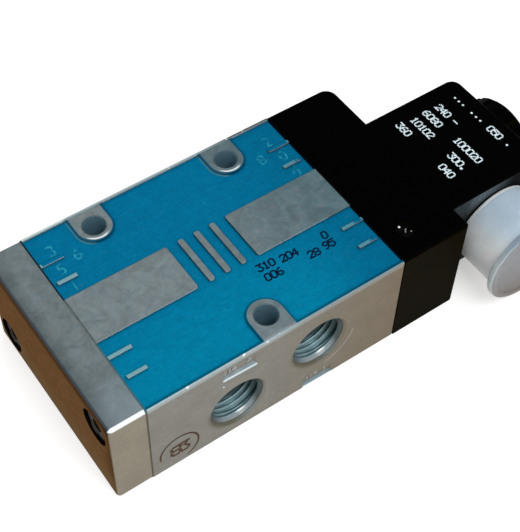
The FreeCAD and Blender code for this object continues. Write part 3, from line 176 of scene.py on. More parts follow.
class Tone:
    """Fixed tones, as linear red, green and blue."""

    # Bare cast metal.
    warm_blotch = (0.205, 0.190, 0.190)
    cold_blotch = (0.120, 0.165, 0.195)
    # Painted highlight on walls facing the near side; the next is painted shade on walls facing
    # the left end.
    lit_wall = (0.46, 0.51, 0.52)
    shaded_wall = (0.016, 0.018, 0.020)
    near_rim = (0.28, 0.34, 0.36)
    # Painted highlight along the far rim: white at the left end, painted shade at the right end.
    far_highlight_left = (0.47, 0.60, 0.59)
    far_highlight_middle = (0.31, 0.40, 0.43)
    far_highlight_right = (0.085, 0.110, 0.115)
    # Painted highlight on the near side of the far tongues.
    tongue_highlight = (0.78, 0.85, 0.87)
    # Painted highlight down the near side below the top edge.
    shoulder_highlight = (0.36, 0.43, 0.44)
    # Painted glints in specks along the upper edges.
    glint_speck = (0.95, 0.97, 0.98)
    hole_rim = (0.045, 0.055, 0.060)
    # Painted light: the hole walls are lighter and bluer than their shade would show.
    hole_wall = (0.160, 0.290, 0.365)
    # Painted highlight on the lower walls of the number fields.
    bar_highlight = (0.55, 0.66, 0.70)
    tick_left = (0.170, 0.360, 0.410)
    tick_right = (0.075, 0.250, 0.320)
    # Painted shade down the ports; the next is a painted brown reflection and shade round their
    # lower lips.
    port_bore_shade = (0.030, 0.032, 0.032)
    port_lip_shade = (0.095, 0.075, 0.035)
    # Painted highlight on an arc round the supply port.
    arc_highlight_tone = (0.75, 0.80, 0.82)
    port_figure = (0.36, 0.38, 0.38)
    # Paint.
    # Painted light on the paint beside the left side of the far tongues.
    lit_paint_band = (0.12, 0.32, 0.38)
    paint_scratch = (0.08, 0.30, 0.42)
    recess_figure = (0.03, 0.36, 0.46)
    # End cap.
    # Lighter and bluer on the end cap's top towards the near side.
    nearer_top_tone = (0.215, 0.275, 0.300)
    # Painted shade on the end cap's rounded edge into its end face.
    end_edge_shade_tone = (0.028, 0.040, 0.056)
    # Part of the end face's painted reflection, paler low down.
    pale_foot = (0.185, 0.120, 0.060)
    # Painted shade in the recesses round the screws.
    screw_recess_shade = (0.004, 0.003, 0.002)
    recess_glint = (0.42, 0.47, 0.44)
    # Mouldings and seals.
    housing_sheen = (0.044, 0.056, 0.064)
    dust = (0.20, 0.19, 0.18)
    worn_plastic = (0.30, 0.32, 0.34)
    rubber_bloom = (0.10, 0.09, 0.08)
    seam_far_paint = (0.006, 0.020, 0.028)
    seam_near_paint = (0.050, 0.130, 0.160)
    seam_left_pad = (0.125, 0.145, 0.145)
    seam_left_side = (0.160, 0.135, 0.110)
    seam_right_paint = (0.0004, 0.0020, 0.0040)
    seam_right_pad = (0.006, 0.008, 0.010)
    seam_right_side = (0.012, 0.006, 0.003)
    # Threads.
    # Painted shade in the roots and painted highlight on the crests.
    thread_root = (0.100, 0.170, 0.190)
    thread_crest = (0.20, 0.30, 0.325)
    countersink = (0.235, 0.270, 0.285)
    # Painted shade to each side of the ports' threads.
    thread_left_shade = (0.025, 0.045, 0.050)
    thread_right_shade = (0.020, 0.032, 0.030)
    # Dust cap.
    # Painted light on the dust cap: lighter sides, a warmer underside, shade on its end face and a
    # highlight round its mouth.
    cap_side = (0.86, 0.97, 1.00)
    cap_under = (0.86, 0.80, 0.70)
    cap_back_low = (0.330, 0.280, 0.245)
    cap_back_high = (0.450, 0.465, 0.500)
    cap_rim_highlight = (0.84, 0.95, 1.0)
    # Small parts.
    plunger_steel = (0.0010, 0.0010, 0.0010)
    enamelled_wire = (0.62, 0.25, 0.09)
    metal_stain = (0.25, 0.22, 0.18)
    screw_stain = (0.03, 0.02, 0.01)
    white = (1.0, 1.0, 1.0)


# ---------------------------------------------------------------- building finishes


class Finish:
    """One procedural finish. Patterns are laid out in millimetres of the valve's own frame."""

    def __init__(self, name, roughness=0.5, metallic=0.0, gloss=0.5):
        self.material = bpy.data.materials.new(name)
        self.material.use_nodes = True
        self.tree = self.material.node_tree
        self.shader = self.tree.nodes["Principled BSDF"]
        self.set("Metallic", metallic)
        self.set("Roughness", roughness)
        self.set("Specular IOR Level", gloss)
        coordinates = self.add("ShaderNodeTexCoord")
        scaled = self.add("ShaderNodeVectorMath", operation="SCALE")
        self.join(coordinates.outputs["Object"], scaled.inputs[0])
        scaled.inputs["Scale"].default_value = 1 / MM
        self.place = scaled.outputs[0]
        self.x, self.y, self.z = self.split(self.place)
        self.right, self.away, self.up = self.split(coordinates.outputs["Normal"])

    def add(self, kind, **settings):
        node = self.tree.nodes.new(kind)
        for key, value in settings.items():
            setattr(node, key, value)
        return node

    def join(self, source, target):
        self.tree.links.new(source, target)

    def feed(self, socket, value):
        """Link an output to a socket, or write a plain value on it."""
        if isinstance(value, bpy.types.NodeSocket):
            self.join(value, socket)
        elif socket.type == "RGBA" and len(value) == 3:
            socket.default_value = (*value, 1.0)
        else:
            socket.default_value = value

    def set(self, name, value):
        self.feed(self.shader.inputs[name], value)

    def coat(self, colour, roughness, normal):
        """Put the finished colour, roughness and surface direction on the material."""
        self.set("Base Color", colour)
        self.set("Roughness", roughness)
        self.set("Normal", normal)
        return self.material

    def split(self, vector):
        parts = self.add("ShaderNodeSeparateXYZ")
        self.join(vector, parts.inputs[0])
        return parts.outputs

    # Arithmetic on numbers and masks.

    def reckon(self, operation, *values):
        """The result of one operation on some numbers or outputs."""
        node = self.add("ShaderNodeMath", operation=operation)
        for socket, value in zip(node.inputs, values):
            self.feed(socket, value)
        return node.outputs[0]

    def fold(self, operation, values):
        """Work through some values two at a time."""
        result = values[0]
        for value in values[1:]:
            result = self.reckon(operation, result, value)
        return result

    def both(self, *masks):
        """Some masks or amounts times each other."""
        return self.fold("MULTIPLY", masks)

    def either(self, *masks):
        """The strongest of some masks."""
        return self.fold("MAXIMUM", masks)

    def least(self, *values):
        return self.fold("MINIMUM", values)

    def less(self, value, taken):
        return self.reckon("SUBTRACT", value, taken)

    def scaled_sum(self, value, times, rest):
        """A value times another, plus the rest."""
        return self.reckon("MULTIPLY_ADD", value, times, rest)

    def off(self, value, centre=0.0):
        """How far a value is from a centre, either way."""
        return self.reckon("ABSOLUTE", self.less(value, centre) if centre else value)

    def reach(self, first, second):
        """Straight distance from two distances at right angles."""
        return self.reckon("SQRT", self.scaled_sum(second, second, self.both(first, first)))

    def rise(self, value, low, high, first=0.0, last=1.0):
        """A smooth step: first below low, last above high."""
        node = self.add("ShaderNodeMapRange", interpolation_type="SMOOTHSTEP", clamp=True)
        for socket, number in zip(node.inputs[:5], (value, low, high, first, last)):
            self.feed(socket, number)
        return node.outputs[0]

    def fall(self, value, low, high):
        """A smooth step from one below low to nothing above high."""
        return self.rise(value, low, high, 1.0, 0.0)

    def between(self, value, low, high, soft):
        """One between low and high, fading to nothing over the soft distance."""
        return self.both(
            self.rise(value, low - soft, low + soft), self.fall(value, high - soft, high + soft))

    def blend(self, share, first, second):
        """A number part of the way from first to second."""
        return self.scaled_sum(share, self.less(second, first), first)

    # Colours.

    def mix(self, share, first, second):
        """A colour part of the way from first to second."""
        node = self.add("ShaderNodeMix", data_type="RGBA", blend_type="MIX", clamp_factor=True)
        factor, under, over = node.inputs[0], node.inputs[6], node.inputs[7]
        for socket, value in ((factor, share), (under, first), (over, second)):
            self.feed(socket, value)
        return node.outputs[2]

    def layered(self, colour, *layers):
        """The colour with each (mask, tone) laid over it in turn."""
        for share, tone in layers:
            colour = self.mix(share, colour, tone)
        return colour

    def shaded(self, colour, *amounts):
        """The colour times some grey amounts."""
        for amount in amounts:
            node = self.add("ShaderNodeVectorMath", operation="SCALE")
            self.feed(node.inputs[0], colour)
            self.feed(node.inputs["Scale"], amount)
            colour = node.outputs[0]
        return colour

    # Patterns and surface.

    def grain(self, per_mm, detail=2.0, rough=0.5, stretch=None, shift=0.0, distort=0.0):
        """Noise with the given number of cells in a millimetre, drawn out where asked."""
        vector = self.place
        if stretch or shift:
            moved = self.add("ShaderNodeVectorMath", operation="MULTIPLY_ADD")
            self.join(vector, moved.inputs[0])
            moved.inputs[1].default_value = stretch or (1.0, 1.0, 1.0)
            moved.inputs[2].default_value = (shift, shift * 0.7, shift * 1.3)
            vector = moved.outputs[0]
        node = self.add("ShaderNodeTexNoise", noise_dimensions="3D")
        settings = {
            "Vector": vector, "Scale": per_mm, "Detail": detail, "Roughness": rough,
            "Distortion": distort}
        for name, value in settings.items():
            self.feed(node.inputs[name], value)
        return node.outputs["Fac"]

    def vary(self, low, high, per_mm, detail=2.0, rough=0.5, limits=(0.3, 0.7), **laid):
        """Noise that swings between two amounts, reached where it passes the limits."""
        return self.rise(self.grain(per_mm, detail, rough, **laid), *limits, low, high)

    def specks(self, per_mm, size):
        """Small round spots scattered over the surface."""
        node = self.add("ShaderNodeTexVoronoi", feature="F1")
        self.join(self.place, node.inputs["Vector"])
        node.inputs["Scale"].default_value = per_mm
        return self.fall(node.outputs["Distance"], size * 0.6, size)

    def distance_to(self, spots, across="xy"):
        """Distance to the nearest of some straight axes, in millimetres."""
        first, second = (getattr(self, letter) for letter in across)
        return self.least(*(
            self.reach(self.less(first, spot[0]), self.less(second, spot[1])) for spot in spots))

    def shelter(self, reach_mm):
        """How open the surface is: one in the open, less in corners."""
        node = self.add("ShaderNodeAmbientOcclusion", samples=6, only_local=True)
        node.inputs["Distance"].default_value = reach_mm * MM
        return node.outputs["AO"]

    def soft_corners(self, reach_mm, samples=6):
        """A surface direction that turns smoothly round corners."""
        node = self.add("ShaderNodeBevel", samples=samples)
        node.inputs["Radius"].default_value = reach_mm * MM
        return node.outputs[0]

    def worn_edges(self, reach_mm):
        """One along sharp edges, falling off over the reach."""
        plain = self.add("ShaderNodeNewGeometry")
        node = self.add("ShaderNodeVectorMath", operation="DOT_PRODUCT")
        self.join(self.soft_corners(reach_mm, samples=4), node.inputs[0])
        self.join(plain.outputs["True Normal"], node.inputs[1])
        return self.fall(node.outputs["Value"], 0.72, 0.97)

    def bump(self, height, depth_mm, strength, below=None):
        node = self.add("ShaderNodeBump")
        node.inputs["Strength"].default_value = strength
        node.inputs["Distance"].default_value = depth_mm * MM
        self.join(height, node.inputs["Height"])
        if below is not None:
            self.join(below, node.inputs["Normal"])
        return node.outputs[0]


def colours():
    return bpy.context.scene.valve_colours


def sizes():
    return bpy.context.scene.valve_sizes


def tinted(colour, shares):
    """A colour with its red, green and blue each made stronger or weaker."""
    return tuple(part * share for part, share in zip(colour, shares))


def hole_places():
    """The through holes in the top face, as (along, across) in millimetres."""
    far = MOUNTS["mount_holes_far"]
    spread = far["dims"]["spacing_x_mm"] / 2
    near = MOUNTS["mount_hole_near"]["pos_m"]
    across = far["pos_m"][1] / MM
    return [(-spread, across), (spread, across), (near[0] / MM, near[1] / MM)]


def port_middle(port):
    """A port's centre on the near face, as (along, up) in millimetres."""
    along, _, up = MOUNTS[port]["pos_m"]
    return along / MM, up / MM


def cap_screw_places():
    """Centres of the end cap's two screw heads, as (across, up): near and high, far and low."""
    low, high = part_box("end_cap_screws")
    head = 3.5 * MM
    return [
        ((low.y + head) / MM, (high.z - head) / MM), ((high.y - head) / MM, (low.z + head) / MM)]


def cast_metal(finish, top, side):
    """Bare die-cast metal, blotched on top and even down the sides, cool on top and warm on the
    sides as painted reflection.
    """
    # Painted shade: the metal darkens towards the right end as the light falls off.
    falloff_shade = finish.rise(finish.x, -14.0, 36.0)
    top = finish.mix(falloff_shade, top, tinted(top, (0.50, 0.68, 0.74)))
    side = finish.mix(falloff_shade, side, tinted(side, (0.84, 0.68, 0.53)))
    # Painted reflection: the cool top tone on upward faces, the warm side tone elsewhere.
    upward = finish.rise(finish.up, 0.25, 0.8)
    blotched = finish.both(
        finish.vary(0.86, 1.15, 0.26, 4.0, 0.60, (0.30, 0.70), distort=0.8),
        finish.vary(0.94, 1.07, 0.9, 4.0, 0.66, (0.28, 0.72), shift=31.0),
        finish.vary(0.96, 1.04, 3.4, 3.0, 0.7, (0.25, 0.75), shift=57.0))
    even = finish.both(
        finish.vary(0.95, 1.05, 0.16, 3.0, 0.55, shift=17.0),
        finish.vary(0.95, 1.05, 1.1, 4.0, 0.8, shift=23.0))
    hue = finish.grain(0.5, 3.0, 0.68, shift=91.0)
    metal = finish.layered(
        finish.mix(upward, side, top),
        (finish.both(upward, finish.rise(hue, 0.52, 0.70, 0.0, 0.35)), Tone.warm_blotch),
        (finish.both(upward, finish.rise(hue, 0.30, 0.48, 0.35, 0.0)), Tone.cold_blotch))
    return finish.shaded(metal, finish.blend(upward, even, blotched))


def edge_glint(finish, width):
    """One along the upper near edge, for a painted highlight on its rounding."""
    spread = finish.either(finish.less(finish.y, NEAR), finish.less(TOP, finish.z))
    return finish.both(
        finish.fall(spread, width * 0.6, width), finish.rise(finish.up, -0.2, 0.15),
        finish.fall(finish.away, -0.25, -0.08))


def tongue_places(finish):
    """Distance from the middle of the nearest tongue round a hole, and masks of its sides."""
    (_, far_across), (spread, _), (_, near_across) = hole_places()
    aside = finish.less(finish.off(finish.x), spread)
    below = finish.least(finish.less(finish.y, far_across), 0.0)
    above = finish.either(finish.less(finish.y, near_across), 0.0)
    nearest = finish.least(finish.reach(below, aside), finish.reach(above, finish.x))
    leftward = finish.both(aside, finish.reckon("SIGN", finish.x))
    far_only = finish.rise(finish.y, 0.0, 1.0)
    toward_near = finish.both(
        finish.fall(below, -3.2, -1.6), finish.fall(leftward, 0.6, 2.2), far_only)
    toward_left = finish.both(finish.fall(leftward, -2.6, -1.2), far_only)
    return nearest, toward_near, toward_left


def body_places(finish):
    """Distances and masks that the body's metal and its paint both follow."""
    at = SimpleNamespace()
    at.width = finish.off(finish.y)
    at.along = finish.off(finish.x)
    at.depth = finish.less(TOP, finish.z)
    at.holes = finish.distance_to(hole_places())
    at.tongues, at.toward_near, at.toward_left = tongue_places(finish)
    at.flat = finish.rise(finish.up, 0.8, 0.95)
    at.level = finish.between(finish.up, -0.5, 0.5, 0.2)
    at.inside_rims = finish.fall(at.width, RIM - 0.02, RIM + 0.06)
    at.recess = finish.both(
        finish.rise(finish.z, FLOOR - 0.25, FLOOR - 0.15), at.inside_rims,
        finish.fall(at.along, BODY_END - 0.05, BODY_END - 0.02),
        finish.rise(at.holes, HOLE + 0.05, HOLE + 0.13))
    at.ticks = finish.both(
        at.flat, finish.rise(at.along, TICKS, TICKS + 0.3),
        finish.between(at.width, 9.6, 18.0, 0.2))
    return at


def body_metal(finish, at):
    """The body's bare metal, with painted highlights on edges and raised walls, painted shade on
    walls facing the left end, a darker ring round each hole and painted light on the hole walls.
    """
    shades = colours()
    wall = finish.both(at.recess, at.level)
    by_ticks = finish.rise(at.width, 20.0, 22.0, 0.10, 0.45)
    # Painted highlight on recess walls facing the near side, painted shade on those facing the
    # left end.
    near_wall = finish.both(
        wall, finish.fall(finish.away, -0.9, -0.3),
        finish.rise(finish.x, TICKS - 0.2, TICKS + 0.2, 1.0, by_ticks))
    end_wall = finish.both(
        wall, finish.fall(finish.right, -0.9, -0.3), finish.fall(finish.x, 20.0, 21.0))
    rims = finish.both(at.flat, finish.rise(at.width, RIM - 0.05, RIM + 0.02))
    # Painted highlight on the near side of the far tongues.
    tongue_highlight = finish.both(
        at.flat, finish.between(at.tongues, TONGUE - 0.88, TONGUE - 0.52, 0.12),
        at.toward_near)
    # The painted highlights below fade towards the right end as the light falls off.
    fainter = finish.rise(finish.x, -6.0, 12.0, 0.85, 0.40)
    # Painted highlight down the near side below the top edge.
    shoulder_highlight = finish.both(
        finish.fall(at.depth, 0.80, 1.60), finish.fall(finish.away, -0.6, -0.3), fainter)
    glint = finish.both(edge_glint(finish, 0.62), fainter)
    # Painted highlight along the far rim, turning to painted shade at the right end.
    far_lip_highlight = finish.both(
        finish.rise(finish.y, FAR - 0.75, FAR - 0.60), finish.fall(at.depth, 0.6, 0.8))
    far_rim_highlight = finish.layered(
        finish.mix(
            finish.rise(finish.x, -22.5, -21.5), Tone.far_highlight_left, Tone.far_highlight_middle),
        (finish.rise(finish.x, 10.0, 24.0), Tone.far_highlight_right))
    # Painted glints in specks along the upper edges.
    glint_specks = finish.both(finish.specks(0.55, 0.24), 0.7)
    hole_rim = finish.both(at.flat, finish.between(at.holes, HOLE, HOLE + 0.20, 0.10))
    # Painted light: the hole walls are lighter and bluer than their shade would show.
    hole_wall = finish.both(finish.fall(at.holes, HOLE + 0.05, HOLE + 0.15), at.level)
    metal = finish.layered(
        cast_metal(finish, shades.cast_top, shades.cast_side),
        (near_wall, Tone.lit_wall),
        (end_wall, Tone.shaded_wall),
        (finish.both(rims, 0.40), Tone.near_rim),
        (tongue_highlight, Tone.tongue_highlight),
        (finish.both(shoulder_highlight, 0.85), Tone.shoulder_highlight),
        (finish.both(glint, 0.08), shades.edge_highlight),
        (far_lip_highlight, far_rim_highlight),
        (finish.both(finish.either(glint, far_lip_highlight), glint_specks), Tone.glint_speck),
        (finish.both(hole_rim, 0.60), Tone.hole_rim),
        (hole_wall, Tone.hole_wall))
    metal = port_metal(finish, metal)
    # Painted light: the sunk number fields are lighter, against the shade of their walls.
    metal = finish.shaded(metal, finish.blend(number_fields(finish), 1.0, 1.22))
    to_right = finish.rise(finish.x, 0.0, 1.0)
    pale = finish.both(at.ticks, finish.rise(finish.x, 0.0, 1.0, 0.85, 0.90))
    return finish.layered(
        metal, (bar_highlights(finish), Tone.bar_highlight),
        (pale, finish.mix(to_right, Tone.tick_left, Tone.tick_right)))


def body_paint(finish, at):
    """The recess paint, with painted shade in corners and on its laps and a painted lit band by
    the far tongues, and one where it covers the floor and laps up the walls.
    """
    brim = finish.vary(
        FLOOR + 0.10, FLOOR + 0.24, 1.4, 3.0, 0.6, (0.2, 0.8), shift=12.0)
    low_enough = finish.fall(finish.less(finish.z, brim), -0.03, 0.03)
    worn = finish.rise(finish.grain(0.8, 2.0, 0.5, shift=44.0), 0.20, 0.36)
    by_corners = finish.either(
        finish.rise(finish.x, 29.2, 30.2), finish.rise(finish.y, 14.5, 15.0))
    over_ticks = finish.both(at.ticks, by_corners, worn, finish.fall(at.along, 31.5, 31.8))
    over_tongues = finish.both(
        finish.rise(at.tongues, TONGUE - 0.40, TONGUE - 0.24),
        finish.fall(at.tongues, TONGUE + 0.5, TONGUE + 0.7), at.inside_rims)
    # Painted shadow line: paint laps over the inner part of the near rim, darkened where raised.
    over_rim = finish.both(
        finish.rise(finish.z, FLOOR - 0.1, FLOOR),
        finish.rise(at.width, RIM - 0.10, RIM - 0.02),
        finish.fall(at.width, RIM + 0.42, RIM + 0.56),
        finish.fall(finish.y, -1.0, 1.0), finish.rise(at.along, 3.9, 4.1))
    painted = finish.either(over_rim, finish.both(
        at.recess, finish.either(over_tongues, low_enough, over_ticks)))

    # Painted shade on the raised laps over rims and tongues.
    raised = finish.rise(finish.z, FLOOR + 0.04, FLOOR + 0.14)
    lap_shade = finish.both(raised, finish.either(over_tongues, over_rim))
    # Painted light on the paint beside the left side of the far tongues.
    lit_band = finish.both(
        finish.between(at.tongues, TONGUE, TONGUE + 0.45, 0.12), at.toward_left, 0.5)
    paint = finish.shaded(recess_paint(finish), finish.blend(lap_shade, 1.0, 0.50))
    paint = finish.mix(lit_band, paint, Tone.lit_paint_band)
    # Painted shade: the paint darkens in sheltered corners.
    corner = finish.rise(finish.shelter(0.9), 0.35, 0.95, 0.40, 1.0)
    return finish.shaded(paint, corner), painted


def finish_valve_body():
    """Bare die-cast metal with paint on the floor of the top recess."""
    finish = Finish("die_cast_and_paint", gloss=0.01)
    at = body_places(finish)
    metal = body_metal(finish, at)
    paint, painted = body_paint(finish, at)
    finish.set("Metallic", finish.both(finish.less(1.0, painted), 0.45))
    matt = finish.vary(0.36, 0.50, 1.1, 3.0, 0.6)
    skin = finish.bump(
        finish.grain(3.4, 3.0, 0.65, shift=8.0), 0.030, 0.50, below=finish.soft_corners(0.22))
    return finish.coat(
        finish.mix(painted, metal, paint), finish.scaled_sum(painted, 0.10, matt),
        finish.bump(finish.grain(0.5, 2.0, 0.5, shift=2.0), 0.10, 0.30, below=skin))


def bar_highlights(finish):
    """Painted highlights: bright bars with round ends along the lower walls of the two number
    fields.
    """
    draft_up, draft_along, tilt = 1.93, -0.67, -0.05
    sunk = finish.less(finish.y, NEAR)
    level = finish.scaled_sum(sunk, draft_up, finish.z)
    place = finish.scaled_sum(sunk, draft_along, finish.x)
    bars = []
    for middle, half_length, height, half_width in (
            (-10.15, 3.85, 21.78, 0.36), (10.6, 3.8, 0.42, 0.24), (-14.2, 0.0, 19.8, 0.22)):
        aside = finish.less(place, middle)
        beyond = finish.either(finish.less(finish.off(aside), half_length), 0.0)
        above = finish.less(finish.less(level, height), finish.both(aside, tilt))
        bars.append(
            finish.fall(finish.reach(beyond, above), half_width - 0.04, half_width + 0.10))
    return finish.both(finish.either(*bars), finish.fall(sunk, 0.62, 0.66))


def number_fields(finish):
    """One inside the two sunk fields, on their floors and walls."""
    fields = [
        finish.both(
            finish.fall(finish.off(finish.x, middle), 4.2, 4.3),
            finish.fall(finish.off(finish.z, height), 1.9, 2.0))
        for middle, height in ((-10.0, 23.5), (10.75, 2.2))]
    return finish.both(
        finish.either(*fields), finish.rise(finish.y, NEAR + 0.02, NEAR + 0.05),
        finish.fall(finish.y, NEAR + 0.75, NEAR + 0.85))


def recess_paint(finish):
    """Even paint with faint streaks along the body, and painted light: lighter and greener on the
    near side, darker towards the right end.
    """
    colour = colours().paint
    # Painted light: lighter and greener towards the near side, darker towards the right end.
    paint = finish.layered(
        colour, (finish.fall(finish.y, -22.0, 8.0), tinted(colour, (0.6, 1.28, 1.16))),
        (finish.rise(finish.x, 8.0, 30.0), tinted(colour, (1.0, 0.86, 0.86))))
    mottle = finish.vary(0.94, 1.06, 0.5, 4.0, 0.65, (0.28, 0.72), shift=5.0)
    streaks = finish.vary(
        0.92, 1.09, 1.6, 4.0, 0.75, (0.25, 0.75), stretch=(0.25, 1.6, 1.0), shift=3.0)
    flecks = finish.vary(0.88, 1.13, 1.5, 5.0, 0.85, (0.25, 0.75), shift=15.0)
    lines = finish.grain(0.55, 1.0, 0.5, stretch=(0.45, 1.0, 1.0), shift=71.0, distort=0.3)
    scratches = finish.both(finish.between(lines, 0.498, 0.502, 0.003), 0.16)
    return finish.mix(
        scratches, finish.shaded(paint, mottle, streaks, flecks), Tone.paint_scratch)


def port_metal(finish, metal):
    """Dark painted shade down the near ports, a soft brown painted reflection and shade round
    their lower lips, and a painted highlight on an arc by the supply port.
    """
    diagonal = 0.7
    outside = finish.fall(finish.y, NEAR + 0.5, NEAR + 1.0)
    for port in ("supply_port", "exhaust_port"):
        x, z = port_middle(port)
        reach = finish.distance_to([(x, z)], across="xz")
        aside = finish.less(finish.x, x)
        above = finish.less(finish.z, z)
        # Painted shade down the bore, and a painted brown reflection and shade round the lower
        # lip.
        bore = finish.both(
            finish.fall(reach, PORT - 0.1, PORT), finish.rise(finish.y, NEAR + 0.1, NEAR + 0.3),
            finish.fall(finish.y, NEAR + 22.0, NEAR + 23.0))
        low_left = finish.scaled_sum(aside, diagonal, finish.both(above, diagonal))
        lip = finish.both(
            finish.fall(reach, PORT, PORT + 1.6), finish.rise(low_left, -6.5, -1.0, 0.75, 0.0),
            outside)
        metal = finish.layered(metal, (bore, Tone.port_bore_shade), (lip, Tone.port_lip_shade))
        if port == "supply_port":
            # Painted highlight on a pale arc round the supply port's lower right, not rubbed
            # metal.
            low_right = finish.less(aside, above)
            rubbed = finish.both(
                finish.between(reach, PORT + 2.60, PORT + 2.75, 0.10),
                finish.rise(low_right, 10.5, 12.0), outside, 0.5)
            metal = finish.mix(rubbed, metal, Tone.arc_highlight_tone)
    return metal


def finish_end_cap():
    """Bare die-cast metal with a painted brown reflection on its end face, painted shade on its
    upper end edge and in the recesses round the screws, and painted glints there.
    """
    shades = colours()
    finish = Finish("die_cast_end_cap", gloss=0.0)
    # Painted reflection as in cast_metal, here warmer still on the sides.
    metal = cast_metal(
        finish, tinted(shades.cast_top, (0.86, 0.86, 0.86)),
        tinted(shades.cast_side, (1.16, 1.06, 0.94)))
    # Lighter and bluer on the top towards the near side.
    nearer_top = finish.both(
        finish.rise(finish.up, 0.8, 0.95), finish.rise(finish.y, NEAR, NEAR + 14.0, 0.6, 0.0))
    # Painted shade on the top near the end and on the rounded edge into the end face.
    outer = finish.both(
        finish.rise(finish.up, 0.25, 0.8), finish.fall(finish.x, CAP_END + 0.2, CAP_END + 4.2))
    end_edge_shade = finish.both(
        finish.fall(finish.right, -0.75, -0.2), finish.rise(finish.up, 0.05, 0.3), 0.85)
    outward = finish.fall(finish.right, -0.97, -0.75)
    # Painted reflection: the end face is brown, darker high up and near the front, paler low down.
    brown = finish.shaded(
        shades.end_face_reflection, finish.vary(0.88, 1.12, 0.5, 4.0, 0.7),
        finish.rise(finish.z, 23.5, 27.2, 1.0, 0.40),
        finish.rise(finish.y, NEAR, NEAR + 4.5, 0.62, 1.0))
    brown = finish.mix(finish.rise(finish.z, 2.0, 12.0, 0.6, 0.0), brown, Tone.pale_foot)
    screws = cap_screw_places()
    # Painted shade in the recesses round the screws.
    recess = finish.fall(
        finish.distance_to(screws, across="yz"), SCREW_RECESS, SCREW_RECESS + 0.10)
    finish.set("Metallic", finish.scaled_sum(finish.either(outward, recess), -0.45, 0.45))
    metal = finish.shaded(
        finish.mix(nearer_top, metal, Tone.nearer_top_tone), finish.blend(outer, 1.0, 0.66))
    metal = finish.layered(
        metal, (end_edge_shade, Tone.end_edge_shade_tone), (outward, brown),
        (edge_glint(finish, 0.86), shades.edge_highlight), (recess, Tone.screw_recess_shade))
    lit_across, lit_up = 0.42, -0.91
    for across, up in screws:
        toward = finish.scaled_sum(
            finish.less(finish.y, across), lit_across,
            finish.both(finish.less(finish.z, up), lit_up))
        here = finish.distance_to([(across, up)], across="yz")
        catch = finish.both(
            finish.rise(here, 3.6, 3.7),
            finish.fall(here, SCREW_RECESS - 0.05, SCREW_RECESS + 0.05),
            finish.rise(toward, 3.72, 3.92), finish.rise(finish.x, CAP_END + 0.5, CAP_END + 0.7),
            0.5)
        metal = finish.mix(catch, metal, Tone.recess_glint)
    grains = finish.bump(
        finish.grain(3.2, 3.0, 0.65), 0.030, 0.45, below=finish.soft_corners(0.3))
    return finish.coat(
        metal, finish.vary(0.34, 0.48, 0.9, 3.0, 0.6),
        finish.bump(finish.grain(0.4), 0.12, 0.30, below=grains))


def finish_moulding(name, rough=0.42, texture=4.5, sheen=None):
    """Black moulded plastic with a spark-eroded texture, browner sides, specks of dust and paler
    worn edges.
    """
    shades = colours()
    finish = Finish(name, gloss=0.006)
    dark = finish.mix(
        finish.rise(finish.up, 0.3, 0.9), shades.moulding_side, shades.moulding)
    dark = finish.shaded(dark, finish.vary(0.85, 1.15, 0.22, 3.0, 0.6))
    if sheen:
        side = HOUSING_LOW.y / MM
        strip = finish.both(
            finish.fall(finish.away, -0.95, -0.85), finish.rise(finish.z, 20.0, 25.5, 0.3, 1.0),
            finish.between(finish.y, side - 0.2, side + 0.2, 0.1))
        level = finish.both(
            finish.rise(finish.x, 53.0, 58.5, 0.85, 2.1),
            finish.rise(finish.x, 60.0, 69.5, 1.0, 0.05),
            finish.vary(0.8, 1.2, 0.8, 3.0, 0.7, stretch=(1.0, 1.0, 0.15), shift=27.0))
        dark = finish.mix(strip, dark, finish.shaded(sheen, level))
    dark = finish.layered(
        dark, (finish.both(finish.specks(0.8, 0.045), 0.03), Tone.dust),
        (finish.both(finish.worn_edges(0.20), 0.006), Tone.worn_plastic))
    return finish.coat(
        dark, finish.vary(rough, rough + 0.16, texture),
        finish.bump(finish.grain(texture, 2.0, 0.6), 0.02, 0.5))


def coat_rubber(finish, colour):
    """A dull, finely grained rubber surface in the given colour."""
    return finish.coat(
        colour, finish.vary(0.62, 0.82, 2.5), finish.bump(finish.grain(6.0), 0.01, 0.4))


def finish_rubber():
    """Black rubber with a faint grey bloom."""
    finish = Finish("seal_rubber", gloss=0.2)
    dark = finish.shaded(colours().rubber, finish.vary(0.75, 1.3, 0.8, 3.0, 0.6))
    bloom = finish.vary(0.0, 0.12, 0.3, 4.0, 0.7, (0.60, 0.80), shift=9.0)
    return coat_rubber(finish, finish.mix(bloom, dark, Tone.rubber_bloom))


def finish_seam_seal():
    """Gasket edges at the seams: brown by the end cap, nearly black by the cover."""
    finish = Finish("seam_seal", gloss=0.01)
    by_pads = finish.fall(finish.off(finish.y), 6.2, 6.6)
    upper = finish.rise(finish.z, TOP - 0.9, TOP - 0.6)
    nearer = finish.fall(finish.y, -10.0, 8.0)
    by_paint = finish.mix(nearer, Tone.seam_far_paint, Tone.seam_near_paint)
    left = finish.mix(
        upper, Tone.seam_left_side, finish.mix(by_pads, by_paint, Tone.seam_left_pad))
    right = finish.mix(
        upper, Tone.seam_right_side,
        finish.mix(by_pads, Tone.seam_right_paint, Tone.seam_right_pad))
    rubber = finish.mix(finish.rise(finish.x, -1.0, 1.0), left, right)
    return coat_rubber(
        finish, finish.shaded(rubber, finish.vary(0.8, 1.2, 1.2, 3.0, 0.6)))


